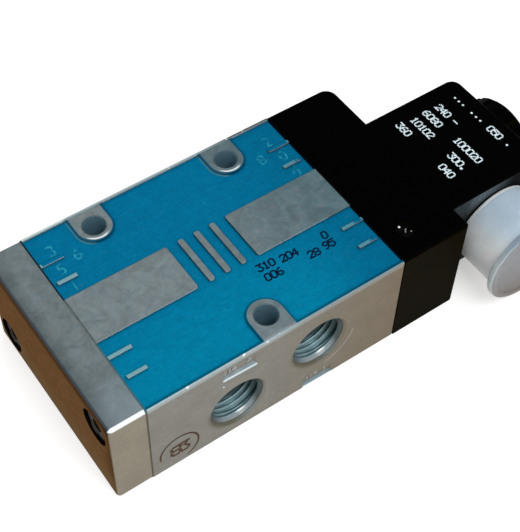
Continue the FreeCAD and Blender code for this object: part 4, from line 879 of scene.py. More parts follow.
def finish_turned(
        name, colour, axis, rough=0.28, metallic=1.0, stain=Tone.metal_stain, gloss=0.5):
    """Turned or drawn metal: fine tool marks along the axis, faint stains, brighter edges."""
    finish = Finish(name, metallic=metallic, gloss=gloss)
    lines = tuple(6.0 if letter == axis else 0.05 for letter in "xyz")
    marks = finish.grain(1.0, 2.0, 0.7, stretch=lines)
    bright = tuple(min(1.0, part * 1.35) for part in colour)
    metal = finish.layered(
        finish.shaded(colour, finish.rise(marks, 0.3, 0.7, 0.90, 1.08)),
        (finish.vary(0.0, 0.30, 0.4, 4.0, 0.6, (0.55, 0.78), shift=4.0), stain),
        (finish.both(finish.worn_edges(0.15), 0.4), bright))
    return finish.coat(
        metal, finish.rise(marks, 0.25, 0.75, rough, rough + 0.14),
        finish.bump(marks, 0.012, 0.6))


def finish_plunger():
    """Blackened steel with painted glints at three points of the rim and the slot."""
    finish = Finish("blackened_plunger", gloss=0.02)
    marks = finish.grain(1.4, 2.0, 0.7)
    metal = finish.shaded(Tone.plunger_steel, finish.rise(marks, 0.3, 0.7, 0.8, 1.2))
    # Painted glints on the rim and the slot.
    for x, y, size, brightness in (
            (37.50, -16.95, 0.36, 1.0), (38.3, -18.3, 0.26, 0.45), (39.0, -19.3, 0.24, 0.30)):
        spot = finish.fall(finish.distance_to([(x, y)]), size * 0.4, size)
        metal = finish.mix(spot, metal, (brightness, brightness, brightness))
    return finish.coat(
        metal, finish.rise(marks, 0.25, 0.75, 0.25, 0.40), finish.bump(marks, 0.012, 0.6))


def finish_plastic(name, colour):
    """Plain moulded plastic with faint flow marks."""
    finish = Finish(name, gloss=0.4)
    flow = finish.grain(0.5, 3.0, 0.6, distort=0.8)
    return finish.coat(
        finish.shaded(colour, finish.rise(flow, 0.3, 0.7, 0.90, 1.06)),
        finish.rise(flow, 0.3, 0.7, 0.45, 0.57),
        finish.bump(finish.grain(3.5), 0.012, 0.5))


def finish_winding():
    """Enamelled wire wound side by side on the bobbin, with painted shade between the turns."""
    finish = Finish("enamelled_winding", metallic=0.75)
    turns = finish.reckon("SINE", finish.both(finish.x, math.tau / 0.32))
    # Painted shade between the turns of wire.
    wire = finish.rise(turns, -1.0, 1.0)
    copper = finish.shaded(
        Tone.enamelled_wire, finish.rise(wire, 0.0, 1.0, 0.45, 1.05),
        finish.vary(0.85, 1.1, 0.5, 3.0))
    return finish.coat(copper, finish.vary(0.24, 0.36, 1.5), finish.bump(wire, 0.10, 0.9))


def finish_ink(name, colour, rough=0.55, gloss=0.3):
    """A thin film of ink, a little uneven."""
    finish = Finish(name, gloss=gloss)
    return finish.coat(
        finish.shaded(colour, finish.vary(0.85, 1.12, 1.8, 3.0, 0.6)),
        finish.vary(rough, rough + 0.15, 3.0), finish.bump(finish.grain(4.0), 0.008, 0.5))


def finish_embossed_paint():
    """Recess paint worn pale, here more and there less, on the raised figures."""
    finish = Finish("embossed_paint", gloss=0.02)
    uneven = finish.vary(0.05, 0.55, 0.9, 2.0, limits=(0.35, 0.65), shift=19.0)
    return finish.coat(
        finish.mix(uneven, recess_paint(finish), Tone.recess_figure),
        finish.vary(0.44, 0.56, 1.5), finish.bump(finish.grain(3.2), 0.02, 0.5))


def finish_port_thread():
    """Cut thread: cool steel grey, with painted highlights on the crests and a painted glint by
    each mouth, painted shade in the roots and to each side, and painted light a little way in that
    turns to painted shade far in.
    """
    finish = Finish("cut_pipe_thread", metallic=0.55, gloss=0.1)
    ridge = finish.add("ShaderNodeAttribute", attribute_name="ridge").outputs["Fac"]
    on_countersink = finish.rise(ridge, 1.5, 1.9)
    # Painted highlight on the crests, painted shade in the roots.
    metal = finish.mix(finish.rise(ridge, 0.0, 0.9), Tone.thread_root, Tone.thread_crest)
    metal = finish.mix(on_countersink, metal, Tone.countersink)
    chatter = finish.grain(1.6, 3.0, 0.65)
    metal = finish.shaded(metal, finish.rise(chatter, 0.3, 0.7, 0.90, 1.10))
    # Painted shade to each side and a painted glint by the mouth of each port.
    darkest = 0.50
    for port in ("supply_port", "exhaust_port"):
        x, z = port_middle(port)
        aside = finish.less(finish.x, x)
        here = finish.fall(finish.off(aside), PORT + 0.1, PORT + 0.3)
        darkest = finish.blend(finish.both(here, finish.rise(aside, -3.0, 3.0)), darkest, 0.08)
        shine = finish.both(
            finish.fall(finish.distance_to([(x + 1.5, z - 5.7)], across="xz"), 0.3, 1.7),
            finish.rise(ridge, 0.80, 0.95), finish.rise(ridge, 1.5, 1.9, 1.0, 0.12),
            finish.fall(finish.y, NEAR + 1.2, NEAR + 1.5))
        metal = finish.layered(
            metal,
            (finish.both(finish.rise(aside, -5.8, -2.0, 0.72, 0.0), here), Tone.thread_left_shade),
            (finish.both(finish.rise(aside, 3.4, 5.6, 0.0, 0.80), here), Tone.thread_right_shade),
            (shine, Tone.white))
    # Painted light a little way in, turning to painted shade far in.
    deep = finish.both(
        finish.rise(finish.y, NEAR + 1.5, NEAR + 5.0, 1.0, 1.30),
        finish.rise(finish.y, NEAR + 5.2, NEAR + 6.2, 1.0, darkest))
    return finish.coat(
        finish.shaded(metal, deep), finish.rise(chatter, 0.3, 0.7, 0.30, 0.42),
        finish.bump(chatter, 0.008, 0.4))


def finish_dust_cap():
    """Milky polyethylene: light passes through its thin wall, and fine scratches cross it. Its
    colour also holds painted light and shade.
    """
    finish = Finish("milky_polyethylene", gloss=0.25)
    low, high = (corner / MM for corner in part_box("dust_cap"))
    middle = (low + high) / 2
    # Painted light: the sides are lighter and bluer than the top.
    milk = finish.mix(finish.rise(finish.up, 0.25, 0.95), Tone.cap_side, colours().cap)
    milk = finish.shaded(milk, finish.vary(0.95, 1.05, 0.22, 3.0, 0.55, distort=0.6))
    panel_edge = (high.x - low.x) / 2 - 1.1
    panel = finish.both(
        finish.fall(finish.y, low.y + 0.32, low.y + 0.42),
        finish.fall(
            finish.distance_to([(middle.x, middle.z)], across="xz"),
            panel_edge, panel_edge + 0.1))
    back = finish.either(panel, finish.fall(finish.away, -0.95, -0.7))
    # Painted light and shade: warmer underneath, darker on the end face low down, a highlight
    # round the mouth.
    milk = finish.layered(
        milk, (finish.fall(finish.up, -0.75, 0.10), Tone.cap_under),
        (back, finish.mix(
            finish.rise(finish.z, 3.0, 19.0), Tone.cap_back_low, Tone.cap_back_high)),
        (finish.rise(finish.y, high.y - 0.85, high.y - 0.60), Tone.cap_rim_highlight))
    # Painted light on the barrel by the flange, painted shade on the flange itself.
    by_flange = finish.rise(finish.y, high.y - 10.8, high.y - 6.0, 1.30, 1.0)
    flange = finish.rise(finish.y, high.y - 12.1, high.y - 11.9, 0.36, 1.0)
    finish.set("Subsurface Weight", 0.85)
    finish.set("Subsurface Radius", (1.0, 1.0, 1.0))
    finish.set("Subsurface Scale", 4 * MM)
    scratches = finish.grain(1.2, 3.0, 0.7, stretch=(0.4, 2.5, 0.4), shift=6.0)
    return finish.coat(
        finish.shaded(milk, finish.both(by_flange, flange)),
        finish.rise(scratches, 0.3, 0.7, 0.30, 0.44), finish.bump(scratches, 0.02, 0.5))


# ---------------------------------------------------------------- building shapes

# Rows of a five by seven dot matrix, top row first, one bit for each dot.
DOT_ROWS = {
    "0": (14, 17, 17, 17, 17, 17, 14),
    "1": (4, 12, 4, 4, 4, 4, 14),
    "2": (14, 17, 1, 2, 4, 8, 31),
    "3": (31, 2, 4, 2, 1, 17, 14),
    "4": (2, 6, 10, 18, 31, 2, 2),
    "5": (31, 16, 30, 1, 1, 17, 14),
    "6": (6, 8, 16, 30, 17, 17, 14),
    "7": (31, 1, 2, 4, 8, 8, 8),
    "8": (14, 17, 17, 14, 17, 17, 14),
    "9": (14, 17, 17, 15, 1, 2, 12),
    "-": (0, 0, 0, 31, 0, 0, 0),
    ".": (0, 0, 0, 0, 0, 12, 12),
    " ": (0, 0, 0, 0, 0, 0, 0),
}
DOT_COLUMNS = 5
DOT_STEPS = 6                   # dot spaces in a figure's height
DOT_SIDES = 10
DOT_LIFT = 0.1                  # between overlapping dots, as a share of the film
FIGURE_WIDTH = 0.75             # from one figure to the next, as a share of the height
FONT_FIGURE = 0.70              # height of a figure in the built-in font, at size one

# One pitch of thread: place along it and height, as shares. Root, flank, flat crest, flank.
THREAD_SECTION = (
    (-0.5, 0.0), (-0.40, 0.04), (-0.12, 0.90), (-0.05, 1.0),
    (0.05, 1.0), (0.12, 0.90), (0.40, 0.04), (0.5, 0.0))
# The countersink and the first crest: depth, share of the thread's height, ridge value.
LEAD_IN_SECTION = (
    (0.0, 0.0, 2.0), (0.35 * MM, 0.35, 2.0), (0.70 * MM, 0.78, 1.6), (0.84 * MM, 0.92, 1.0),
    (0.95 * MM, 0.92, 1.0), (1.15 * MM, 0.55, 0.4), (1.40 * MM, 0.0, 0.0))
LEAD_IN = 1.35 * MM
FADE_IN, FADE_OUT = 0.3, 0.8    # turns over which the thread grows and dies away
THREAD_GAP = 0.004 * MM         # keeps the thread's root clear of the port's wall


def add_piece(name, mesh, material, body="valve", smooth=False):
    """Show a mesh as a piece that rides on a body of the valve."""
    piece = bpy.data.objects.new(name, mesh)
    bpy.context.scene.collection.objects.link(piece)
    mesh.materials.clear()
    mesh.materials.append(material)
    if smooth:
        mesh.polygons.foreach_set("use_smooth", [True] * len(mesh.polygons))
    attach(piece, body)
    return piece


def mesh_from(name, points, faces):
    mesh = bpy.data.meshes.new(name)
    mesh.from_pydata([tuple(point) for point in points], [], faces)
    mesh.validate()
    mesh.update()
    return mesh


def dress(nodes, material):
    """Give CAD nodes their finish."""
    for name in nodes:
        mesh = frame["nodes"][name].data
        mesh.materials.clear()
        mesh.materials.append(material)


def ray(first, second, turn):
    """The direction at an angle from the first of two directions towards the second."""
    return first * math.cos(turn) + second * math.sin(turn)


def number_dots(text, height, origin, along, upward, spacing, slant=0.0):
    """Centres of the dots that make up a row of figures, with a lift step for each."""
    pitch = height / DOT_STEPS
    dots = []
    for index, figure in enumerate(text):
        start = index * height * FIGURE_WIDTH * spacing
        for row, bits in enumerate(DOT_ROWS[figure]):
            for column in range(DOT_COLUMNS):
                if bits >> (DOT_COLUMNS - 1 - column) & 1:
                    rise = (DOT_STEPS - row) * pitch
                    across = start + column * pitch + rise * slant
                    lift = (column + 2 * row) % DOT_COLUMNS
                    dots.append((origin + along * across + upward * rise, lift))
    return dots


def dots_mesh(name, dots, radius, along, upward, film):
    """Flat round dots a film's thickness above their surface, overlapping at stepped heights."""
    outward = along.cross(upward).normalized()
    points = []
    faces = []
    for centre, lift in dots:
        base = len(points)
        lifted = centre + outward * (film + lift * film * DOT_LIFT)
        for side in range(DOT_SIDES):
            points.append(lifted + ray(along, upward, math.tau * side / DOT_SIDES) * radius)
        faces.append(tuple(range(base, base + DOT_SIDES)))
    return mesh_from(name, points, faces)


def print_rows(kind, rows, surface, height, dot_share, along, upward, material, slot, **set_out):
    """Print rows of (figures, x, y) in millimetres on a level surface, as numbered pieces."""
    film = sizes().film
    for index, (text, x, y) in enumerate(rows, 1):
        name = f"{kind}_row_{index}"
        start = Vector((x * MM, y * MM, surface))
        dots = number_dots(text, height, start, along, upward, **set_out)
        radius = height / DOT_STEPS * dot_share
        add_piece(name, dots_mesh(name, dots, radius, along, upward, film), material)


def raised_text_mesh(name, text, height, relief, origin, along, upward):
    """Solid figures standing out of a surface, with softened upper edges."""
    bevel = 0.05 * MM
    buried = 0.02 * MM
    curve = bpy.data.curves.new(name, "FONT")
    settings = {
        "body": text, "size": height / FONT_FIGURE, "align_x": "CENTER", "align_y": "CENTER",
        "extrude": relief / 2 - bevel, "bevel_depth": bevel, "bevel_resolution": 1,
        "resolution_u": 5, "space_character": 1.15}
    for key, value in settings.items():
        setattr(curve, key, value)
    holder = bpy.data.objects.new(name, curve)
    bpy.context.scene.collection.objects.link(holder)
    bpy.context.view_layer.update()
    mesh = bpy.data.meshes.new_from_object(holder)
    bpy.data.objects.remove(holder)
    bpy.data.curves.remove(curve)
    outward = along.cross(upward).normalized()
    stand = Matrix((along, upward, outward)).transposed().to_4x4()
    stand.translation = origin + outward * (relief / 2 - buried)
    mesh.transform(stand)
    return mesh


def lathe_mesh(name, profile, centre, axis):
    """Turn a closed line of (radius, place along the axis) round an axis through the centre."""
    sides = 128
    sideways = axis.orthogonal().normalized()
    other = axis.cross(sideways)
    merged = 1e-7
    rings = []
    points = []
    for radius, along in profile:
        at = centre + axis * along
        if radius < merged:
            rings.append([len(points)] * sides)
            points.append(at)
            continue
        rings.append([len(points) + side for side in range(sides)])
        for side in range(sides):
            points.append(at + ray(sideways, other, math.tau * side / sides) * radius)
    faces = []
    for first, second in zip(rings, rings[1:]):
        for side in range(sides):
            after = (side + 1) % sides
            corners = [first[side], first[after], second[after], second[side]]
            faces.append(tuple(dict.fromkeys(corners)))
    mesh = mesh_from(name, points, [face for face in faces if len(face) > 2])
    work = bmesh.new()
    work.from_mesh(mesh)
    bmesh.ops.remove_doubles(work, verts=work.verts, dist=merged)
    bmesh.ops.recalc_face_normals(work, faces=work.faces)
    work.to_mesh(mesh)
    work.free()
    return mesh


def rounded_profile(corners):
    """A line through (radius, along, rounding) corners with each one rounded off."""
    steps = 5
    line = []
    for index, (radius, along, rounding) in enumerate(corners):
        here = Vector((radius, along))
        if rounding == 0.0 or index in (0, len(corners) - 1):
            line.append(tuple(here))
            continue
        before = Vector(corners[index - 1][:2])
        after = Vector(corners[index + 1][:2])
        start = here + (before - here).normalized() * rounding
        end = here + (after - here).normalized() * rounding
        for step in range(steps + 1):
            share = step / steps
            line.append(tuple(start.lerp(here, share).lerp(here.lerp(end, share), share)))
    return line


def thread_mesh(name, mount):
    """A pipe thread down a port, fading in and out at its ends, behind a smooth countersink."""
    look = sizes()
    sides = look.thread_sides
    centre = Vector(mount["pos_m"])
    inward = -Vector(mount["axis"])
    other = inward.cross(RIGHT)
    root = THREAD_MAJOR - THREAD_GAP
    points = []
    ridges = []
    faces = []

    def add_point(step, depth, height, ridge):
        outward = ray(RIGHT, other, math.tau * step / sides)
        points.append(centre + inward * depth + outward * (root - height))
        ridges.append(ridge)

    count = int(look.thread_length / look.thread_pitch * sides)
    width = len(THREAD_SECTION)
    for step in range(count + 1):
        along = LEAD_IN + step / sides * look.thread_pitch
        fade = min(1.0, step / (FADE_IN * sides), (count - step) / (FADE_OUT * sides))
        height = look.thread_depth * fade
        for across, share in THREAD_SECTION:
            depth = along + across * look.thread_pitch
            depth = min(max(depth, LEAD_IN * 0.8), look.thread_length + LEAD_IN)
            add_point(step, depth, height * share, share * fade)
    for step in range(count):
        for column in range(width - 1):
            corner = step * width + column
            faces.append((corner, corner + 1, corner + width + 1, corner + width))

    first = len(points)
    for depth, share, ridge in LEAD_IN_SECTION:
        for side in range(sides):
            add_point(side, depth, look.thread_depth * share, ridge)
    for ring in range(len(LEAD_IN_SECTION) - 1):
        for side in range(sides):
            here = first + ring * sides + side
            beside = first + ring * sides + (side + 1) % sides
            faces.append((here, here + sides, beside + sides, beside))
    mesh = mesh_from(name, points, faces)
    attribute = mesh.attributes.new("ridge", "FLOAT", "POINT")
    attribute.data.foreach_set("value", ridges)
    return mesh


def arc_band_mesh(name, centre, along, upward, radius, width, start, end, film):
    """A flat band along part of a circle, its ends tapered."""
    steps = 72
    blunt, growth = 0.45, 8
    outward = along.cross(upward).normalized()
    points = []
    for step in range(steps + 1):
        share = step / steps
        spoke = ray(along, upward, start + (end - start) * share)
        taper = min(1.0, blunt + growth * share, blunt + growth * (1 - share))
        for side in (-0.5, 0.5):
            points.append(centre + outward * film + spoke * (radius + side * width * taper))
    faces = [(2 * step, 2 * step + 1, 2 * step + 3, 2 * step + 2) for step in range(steps)]
    return mesh_from(name, points, faces)


# ---------------------------------------------------------------- operators


class VALVE_OT_stage(bpy.types.Operator):
    """Set the pale floor, the soft light and the camera"""

    bl_idname = "valve.stage"
    bl_label = "Stage"

    def execute(self, context):
        studio = context.scene.valve_studio
        self.make_floor(context.scene)
        self.make_room(context.scene, studio.world_light)
        self.make_lamp(context.scene, studio)
        self.make_camera(context.scene, studio.focal_length)
        context.scene.view_settings.view_transform = "Standard"
        return {"FINISHED"}

    def make_floor(self, scene):
        reach = 3.0
        gap = 0.02 * MM
        glow = 0.42
        corners = [(-reach, -reach, 0.0), (reach, -reach, 0.0), (reach, reach, 0.0),
                   (-reach, reach, 0.0)]
        mesh = mesh_from("floor", corners, [(0, 1, 2, 3)])
        floor = bpy.data.objects.new("floor", mesh)
        scene.collection.objects.link(floor)
        floor.location.z = cad_low.z - gap
        finish = Finish("pale_floor", roughness=0.9, gloss=0.1)
        finish.set("Base Color", finish.shaded(
            colours().floor, finish.vary(0.985, 1.0, 0.02)))
        path = finish.add("ShaderNodeLightPath").outputs
        seen = finish.either(
            path["Is Camera Ray"], path["Is Glossy Ray"], path["Is Transmission Ray"])
        finish.set("Emission Color", Tone.white)
        finish.set("Emission Strength", finish.both(seen, glow))
        mesh.materials.append(finish.material)

    def make_room(self, scene, strength):
        """An even light that shows as white behind the valve and in its reflections."""
        world = bpy.data.worlds.new("room")
        world.use_nodes = True
        tree = world.node_tree
        background = tree.nodes["Background"]
        background.inputs["Color"].default_value = (*Tone.white, 1.0)
        path = tree.nodes.new("ShaderNodeLightPath")
        seen = path.outputs["Is Camera Ray"]
        for kind in ("Is Glossy Ray", "Is Transmission Ray"):
            either = tree.nodes.new("ShaderNodeMath")
            either.operation = "MAXIMUM"
            tree.links.new(seen, either.inputs[0])
            tree.links.new(path.outputs[kind], either.inputs[1])
            seen = either.outputs[0]
        level = tree.nodes.new("ShaderNodeMapRange")
        level.inputs["To Min"].default_value = strength
        level.inputs["To Max"].default_value = 1.0
        tree.links.new(seen, level.inputs["Value"])
        tree.links.new(level.outputs[0], background.inputs["Strength"])
        scene.world = world

    def make_lamp(self, scene, studio):
        lamp = bpy.data.lights.new("key_lamp", "AREA")
        lamp.shape = "SQUARE"
        lamp.size = studio.key_size
        lamp.energy = studio.key_power
        holder = bpy.data.objects.new("key_lamp", lamp)
        scene.collection.objects.link(holder)
        # Above and in front, turned to the middle of the valve.
        aim = Vector((0.010, 0.0, 0.015))
        direction = Vector((-0.05, -0.50, 0.86)).normalized()
        distance = 0.60
        holder.location = aim + direction * distance
        holder.rotation_euler = direction.to_track_quat("Z", "Y").to_euler()

    def make_camera(self, scene, focal_length):
        lens = bpy.data.cameras.new("camera")
        lens.sensor_width = 36.0
        lens.sensor_fit = "AUTO"
        lens.lens = focal_length
        lens.clip_start = 0.01
        lens.clip_end = 20.0
        holder = bpy.data.objects.new("camera", lens)
        scene.collection.objects.link(holder)
        # The three directions that the camera is turned to, then where it stands.
        right = Vector((0.81807128, -0.57479342, 0.01928479))
        upward = Vector((0.44885525, 0.65907664, 0.60344589))
        backward = Vector((-0.35956688, -0.48500568, 0.79717072))
        stand = Matrix((right, upward, backward)).transposed().to_4x4()
        stand.translation = Vector((-0.08599493, -0.13333139, 0.23177311))
        holder.matrix_world = stand
        scene.camera = holder


class VALVE_OT_cast_finish(bpy.types.Operator):
    """Finish the valve body's bare metal and recess paint, and the end cap"""

    bl_idname = "valve.cast_finish"
    bl_label = "Cast Metal and Paint"

    def execute(self, context):
        dress(["valve_body"], finish_valve_body())
        dress(["end_cap"], finish_end_cap())
        return {"FINISHED"}


class VALVE_OT_moulding_finish(bpy.types.Operator):
    """Finish the black mouldings: cover, coil housing, nut, connector and pilot base"""

    bl_idname = "valve.moulding_finish"
    bl_label = "Black Mouldings"

    def execute(self, context):
        dress(["solenoid_cover"], finish_moulding("cover_moulding"))
        dress(["coil_housing"], finish_moulding("housing_moulding", sheen=Tone.housing_sheen))
        dress(["pilot_base"], finish_moulding("pilot_base_moulding", 0.5, 3.5))
        dress(["coil_nut"], finish_moulding("fluted_nut_moulding", 0.36, 5.0))
        dress(
            ["connector_shell", "connector_insert"],
            finish_moulding("connector_moulding", 0.38, 5.0))
        return {"FINISHED"}


class VALVE_OT_seal_finish(bpy.types.Operator):
    """Finish the rubber gaskets, O-rings and seals"""

    bl_idname = "valve.seal_finish"
    bl_label = "Rubber Seals"

    def execute(self, context):
        dress(["end_cap_gasket", "cover_gasket"], finish_seam_seal())
        inner = ("pilot_gasket", "sleeve_o_rings", "spool_seals", "piston_seal",
                 "override_o_ring", "tube_o_ring", "armature_seal", "nut_seal_ring",
                 "connector_seal")
        dress(inner, finish_rubber())
        return {"FINISHED"}


class VALVE_OT_metal_finish(bpy.types.Operator):
    """Finish the screws, spool, sleeve, solenoid iron, pins and other small parts"""

    bl_idname = "valve.metal_finish"
    bl_label = "Inner Metal and Plastic"

    def execute(self, context):
        dress(["end_cap_screws", "cover_screws"], finish_turned(
            "blackened_screws", (0.014, 0.011, 0.008), "x", 0.36, metallic=0.0,
            stain=Tone.screw_stain, gloss=0.06))
        for nodes, name, colour, axis, rough in (
                (["pilot_screws"], "zinc_screws", (0.50, 0.50, 0.49), "x", 0.3),
                (["spool", "spool_sleeve"], "turned_aluminium", (0.66, 0.66, 0.67), "x", 0.28),
                (["armature", "fixed_core"], "core_steel", (0.55, 0.55, 0.54), "x", 0.28),
                (["armature_tube"], "drawn_tube", (0.58, 0.57, 0.55), "x", 0.2),
                (["coil_yoke"], "zinc_yoke", (0.48, 0.48, 0.47), "z", 0.34),
                (["pilot_nozzle"], "turned_brass", (0.72, 0.56, 0.27), "x", 0.28),
                (["connector_pins"], "plated_pins", (0.70, 0.66, 0.55), "y", 0.2)):
            dress(nodes, finish_turned(name, colour, axis, rough))
        dress(["override_plunger"], finish_plunger())
        dress(["pilot_piston"], finish_plastic("acetal_piston", (0.72, 0.71, 0.67)))
        dress(["coil_bobbin"], finish_plastic("bobbin_nylon", (0.05, 0.05, 0.05)))
        dress(["coil_winding"], finish_winding())
        return {"FINISHED"}


class VALVE_OT_springs(bpy.types.Operator):
    """Show the three springs as pieces of their own, copied from their CAD meshes in a drawn-wire
    finish
    """

    bl_idname = "valve.springs"
    bl_label = "Springs"

    def execute(self, context):
        wire = finish_turned("spring_wire", (0.42, 0.42, 0.43), "z", 0.25)
        for node, joint, axis, fixed_end in (
                ("return_spring", "spool_slide", "x", 0),
                ("armature_spring", "armature_slide", "x", 1),
                ("override_spring", "override_push", "z", 0)):
            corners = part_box(node)
            free = getattr(corners[1] - corners[0], axis)
            mesh = frame["nodes"][node].data.copy()
            mesh.name = f"wound_{node}"
            piece = add_piece(f"wound_{node}", mesh, wire)
            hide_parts(node)
            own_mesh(piece)
        return {"FINISHED"}


class VALVE_OT_port_threads(bpy.types.Operator):
    """Cut the pipe thread into the three ports"""

    bl_idname = "valve.port_threads"
    bl_label = "Port Threads"

    def execute(self, context):
        material = finish_port_thread()
        for port in ("supply_port", "exhaust_port", "outlet_port"):
            name = port.replace("port", "thread")
            mesh = thread_mesh(name, MOUNTS[port])
            add_piece(name, mesh, material, smooth=True)
        return {"FINISHED"}


class VALVE_OT_port_numbers(bpy.types.Operator):
    """Stand plain figures in the fields by the near ports"""

    bl_idname = "valve.port_numbers"
    bl_label = "Port Numbers"

    def execute(self, context):
        relief = sizes().label_relief
        material = finish_ink("raised_cast_figures", Tone.port_figure, rough=0.35, gloss=0.05)
        height = 1.7 * MM
        field = BODY_LOW.y + 0.7 * MM
        for name, text, port, aside, up in (
                ("exhaust_number", "3", "exhaust_port", 2.8, 24.1),
                ("exhaust_thread_size", "1/4", "exhaust_port", -1.9, 23.7),
                ("supply_number", "1", "supply_port", 2.4, 2.7),
                ("supply_thread_size", "1/4", "supply_port", -1.2, 2.7)):
            middle = Vector((MOUNTS[port]["pos_m"][0] + aside * MM, field, up * MM))
            mesh = raised_text_mesh(name, text, height, relief, middle, RIGHT, UP)
            add_piece(name, mesh, material)
        return {"FINISHED"}


class VALVE_OT_recess_numbers(bpy.types.Operator):
    """Emboss plain figures by the end marks in the painted recess"""

    bl_idname = "valve.recess_numbers"
    bl_label = "Recess Numbers"

    def execute(self, context):
        relief = sizes().tick_number_relief
        material = finish_embossed_paint()
        height = 3.0 * MM
        for index, (text, x, y) in enumerate((
                ("3", -28.0, 19.2), ("6", -23.9, 15.4), ("5", -28.6, 13.8), ("1", -28.4, 8.6),
                ("2", 28.0, 19.2), ("8", 23.9, 15.4), ("0", 28.6, 13.8), ("4", 28.4, 8.6)), 1):
            name = f"recess_number_{index}"
            middle = Vector((x * MM, y * MM, FLOOR * MM))
            mesh = raised_text_mesh(name, text, height, relief, middle, RIGHT, AWAY)
            add_piece(name, mesh, material)
        return {"FINISHED"}


class VALVE_OT_ink_numbers(bpy.types.Operator):
    """Print rows of plain dark figures on the paint by the near hole"""

    bl_idname = "valve.ink_numbers"
    bl_label = "Ink Numbers"

    def execute(self, context):
        material = finish_ink("dark_ink", colours().ink, gloss=0.02)
        tilt = math.radians(-3.0)
        rows = (
            ("310", 5.35, -10.0), ("204", 10.95, -10.6), ("006", 5.4, -12.9),
            ("28", 16.45, -13.15), ("95", 20.55, -13.0), ("0", 21.95, -10.55))
        print_rows(
            "ink", rows, FLOOR * MM, sizes().ink_height, 0.80, ray(RIGHT, AWAY, tilt),
            ray(AWAY, -RIGHT, tilt), material, "diecast_metal", spacing=1.12, slant=0.08)
        return {"FINISHED"}


class VALVE_OT_side_stamp(bpy.types.Operator):
    """Stamp a ring with two plain figures on the near side by the end cap"""

    bl_idname = "valve.side_stamp"
    bl_label = "Side Stamp"

    def execute(self, context):
        look = sizes()
        material = finish_ink("brown_stamp", colours().stamp, gloss=0.1)
        centre = Vector((BODY_LOW.x + 6.6 * MM, BODY_LOW.y, 5.9 * MM))
        ring = arc_band_mesh(
            "stamp_ring", centre, RIGHT, UP, look.stamp_radius, 0.48 * MM,
            math.radians(-70), math.radians(196), look.film)
        add_piece("stamp_ring", ring, material)
        start = centre + RIGHT * (-2.0 * MM) + UP * (-1.7 * MM)
        dots = number_dots("83", 3.3 * MM, start, RIGHT, UP, spacing=0.84)
        mesh = dots_mesh("stamp_figures", dots, 0.40 * MM, RIGHT, UP, look.film)
        add_piece("stamp_figures", mesh, material)
        return {"FINISHED"}


class VALVE_OT_white_print(bpy.types.Operator):
    """Print rows of plain white figures and dots on the coil housing"""

    bl_idname = "valve.white_print"
    bl_label = "White Print"

    def execute(self, context):
        look = sizes()
        top = HOUSING_HIGH.z
        material = finish_ink("white_print", colours().print_white, rough=0.6)
        rows = (
            ("050", 72.3, -5.9), ("240 -", 66.9, 6.1), ("6080", 63.2, 6.3),
            ("10102", 59.4, 6.1), ("360", 55.5, 6.7), ("100020", 63.5, -4.4),
            ("300.", 59.3, -7.2), ("040", 55.4, -8.7))
        print_rows(
            "print", rows, top, look.print_height, 0.67, -AWAY, RIGHT, material,
            "black_plastic", spacing=1.10)
        dots = [
            (Vector((72.87 * MM, y * MM, top)), 0)
            for y in (5.8, 4.4, 2.95, -0.15, -1.7, -3.2, -12.4)]
        mesh = dots_mesh("print_dots", dots, 0.30 * MM, -AWAY, RIGHT, look.film)
        add_piece("print_dots", mesh, material)
        return {"FINISHED"}


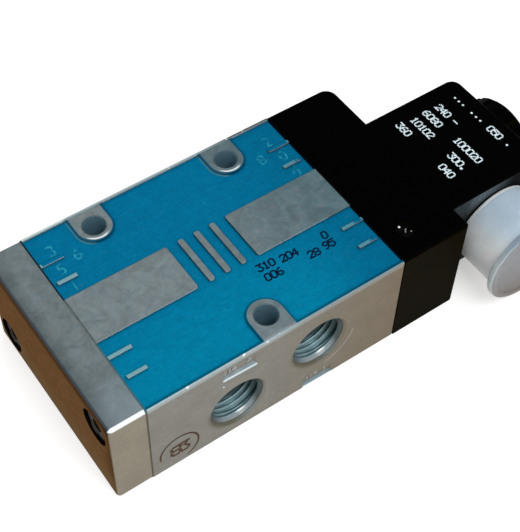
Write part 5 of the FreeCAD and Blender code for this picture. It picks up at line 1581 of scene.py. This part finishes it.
class VALVE_OT_dust_cap(bpy.types.Operator):
    """Mould the dust cap over the connector, with rounded edges and an inner lip"""

    bl_idname = "valve.dust_cap"
    bl_label = "Dust Cap"

    def execute(self, context):
        low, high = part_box("dust_cap")
        centre = (low + high) / 2
        flange = (high.x - low.x) / 2
        back, mouth = low.y, high.y
        radius = 10.36 * MM
        bore = 9.56 * MM
        inside = back + 1.0 * MM
        step = back + 1.6 * MM
        panel = back + 0.3 * MM
        soft = sizes().cap_rounding
        profile = rounded_profile([
            (0.0, inside, 0.0),
            (bore, inside, 0.5 * MM),
            (bore, mouth, 0.12 * MM),
            (radius, mouth, 0.25 * MM),
            (radius, step, 0.45 * MM),
            (flange, step, soft),
            (flange, back, soft),
            (flange - 1.3 * MM, back, 0.25 * MM),
            (flange - 1.7 * MM, panel, 0.25 * MM),
            (0.0, panel, 0.0),
        ])
        origin = Vector((centre.x, 0.0, centre.z))
        mesh = lathe_mesh("moulded_dust_cap", profile, origin, AWAY)
        piece = add_piece(
            "moulded_dust_cap", mesh, finish_dust_cap(), "cap", smooth=True)
        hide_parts("dust_cap")
        return {"FINISHED"}


class VALVE_PT_steps(bpy.types.Panel):
    """The steps that finish the valve"""

    bl_idname = "VALVE_PT_steps"
    bl_label = "Solenoid Valve"
    bl_space_type = "VIEW_3D"
    bl_region_type = "UI"
    bl_category = "Valve"

    def draw(self, context):
        layout = self.layout
        for step in STEPS:
            layout.operator(step.bl_idname)
        for group in GROUPS:
            values = getattr(context.scene, group)
            box = layout.box()
            for key in values.__annotations__:
                box.prop(values, key)


STEPS = (
    VALVE_OT_stage,
    VALVE_OT_cast_finish,
    VALVE_OT_moulding_finish,
    VALVE_OT_seal_finish,
    VALVE_OT_metal_finish,
    VALVE_OT_springs,
    VALVE_OT_port_threads,
    VALVE_OT_port_numbers,
    VALVE_OT_recess_numbers,
    VALVE_OT_ink_numbers,
    VALVE_OT_side_stamp,
    VALVE_OT_white_print,
    VALVE_OT_dust_cap,
)
GROUPS = {"valve_colours": ValveColours, "valve_sizes": ValveSizes, "valve_studio": ValveStudio}
CLASSES = (*GROUPS.values(), *STEPS, VALVE_PT_steps)


def register():
    for entry in CLASSES:
        bpy.utils.register_class(entry)
    for name, group in GROUPS.items():
        setattr(bpy.types.Scene, name, PointerProperty(type=group))


def unregister():
    for name in reversed(GROUPS):
        delattr(bpy.types.Scene, name)
    for entry in reversed(CLASSES):
        bpy.utils.unregister_class(entry)


def main():
    register()
    for step in STEPS:
        group, name = step.bl_idname.split(".")
        getattr(getattr(bpy.ops, group), name)()


if __name__ == "__main__":
    main()
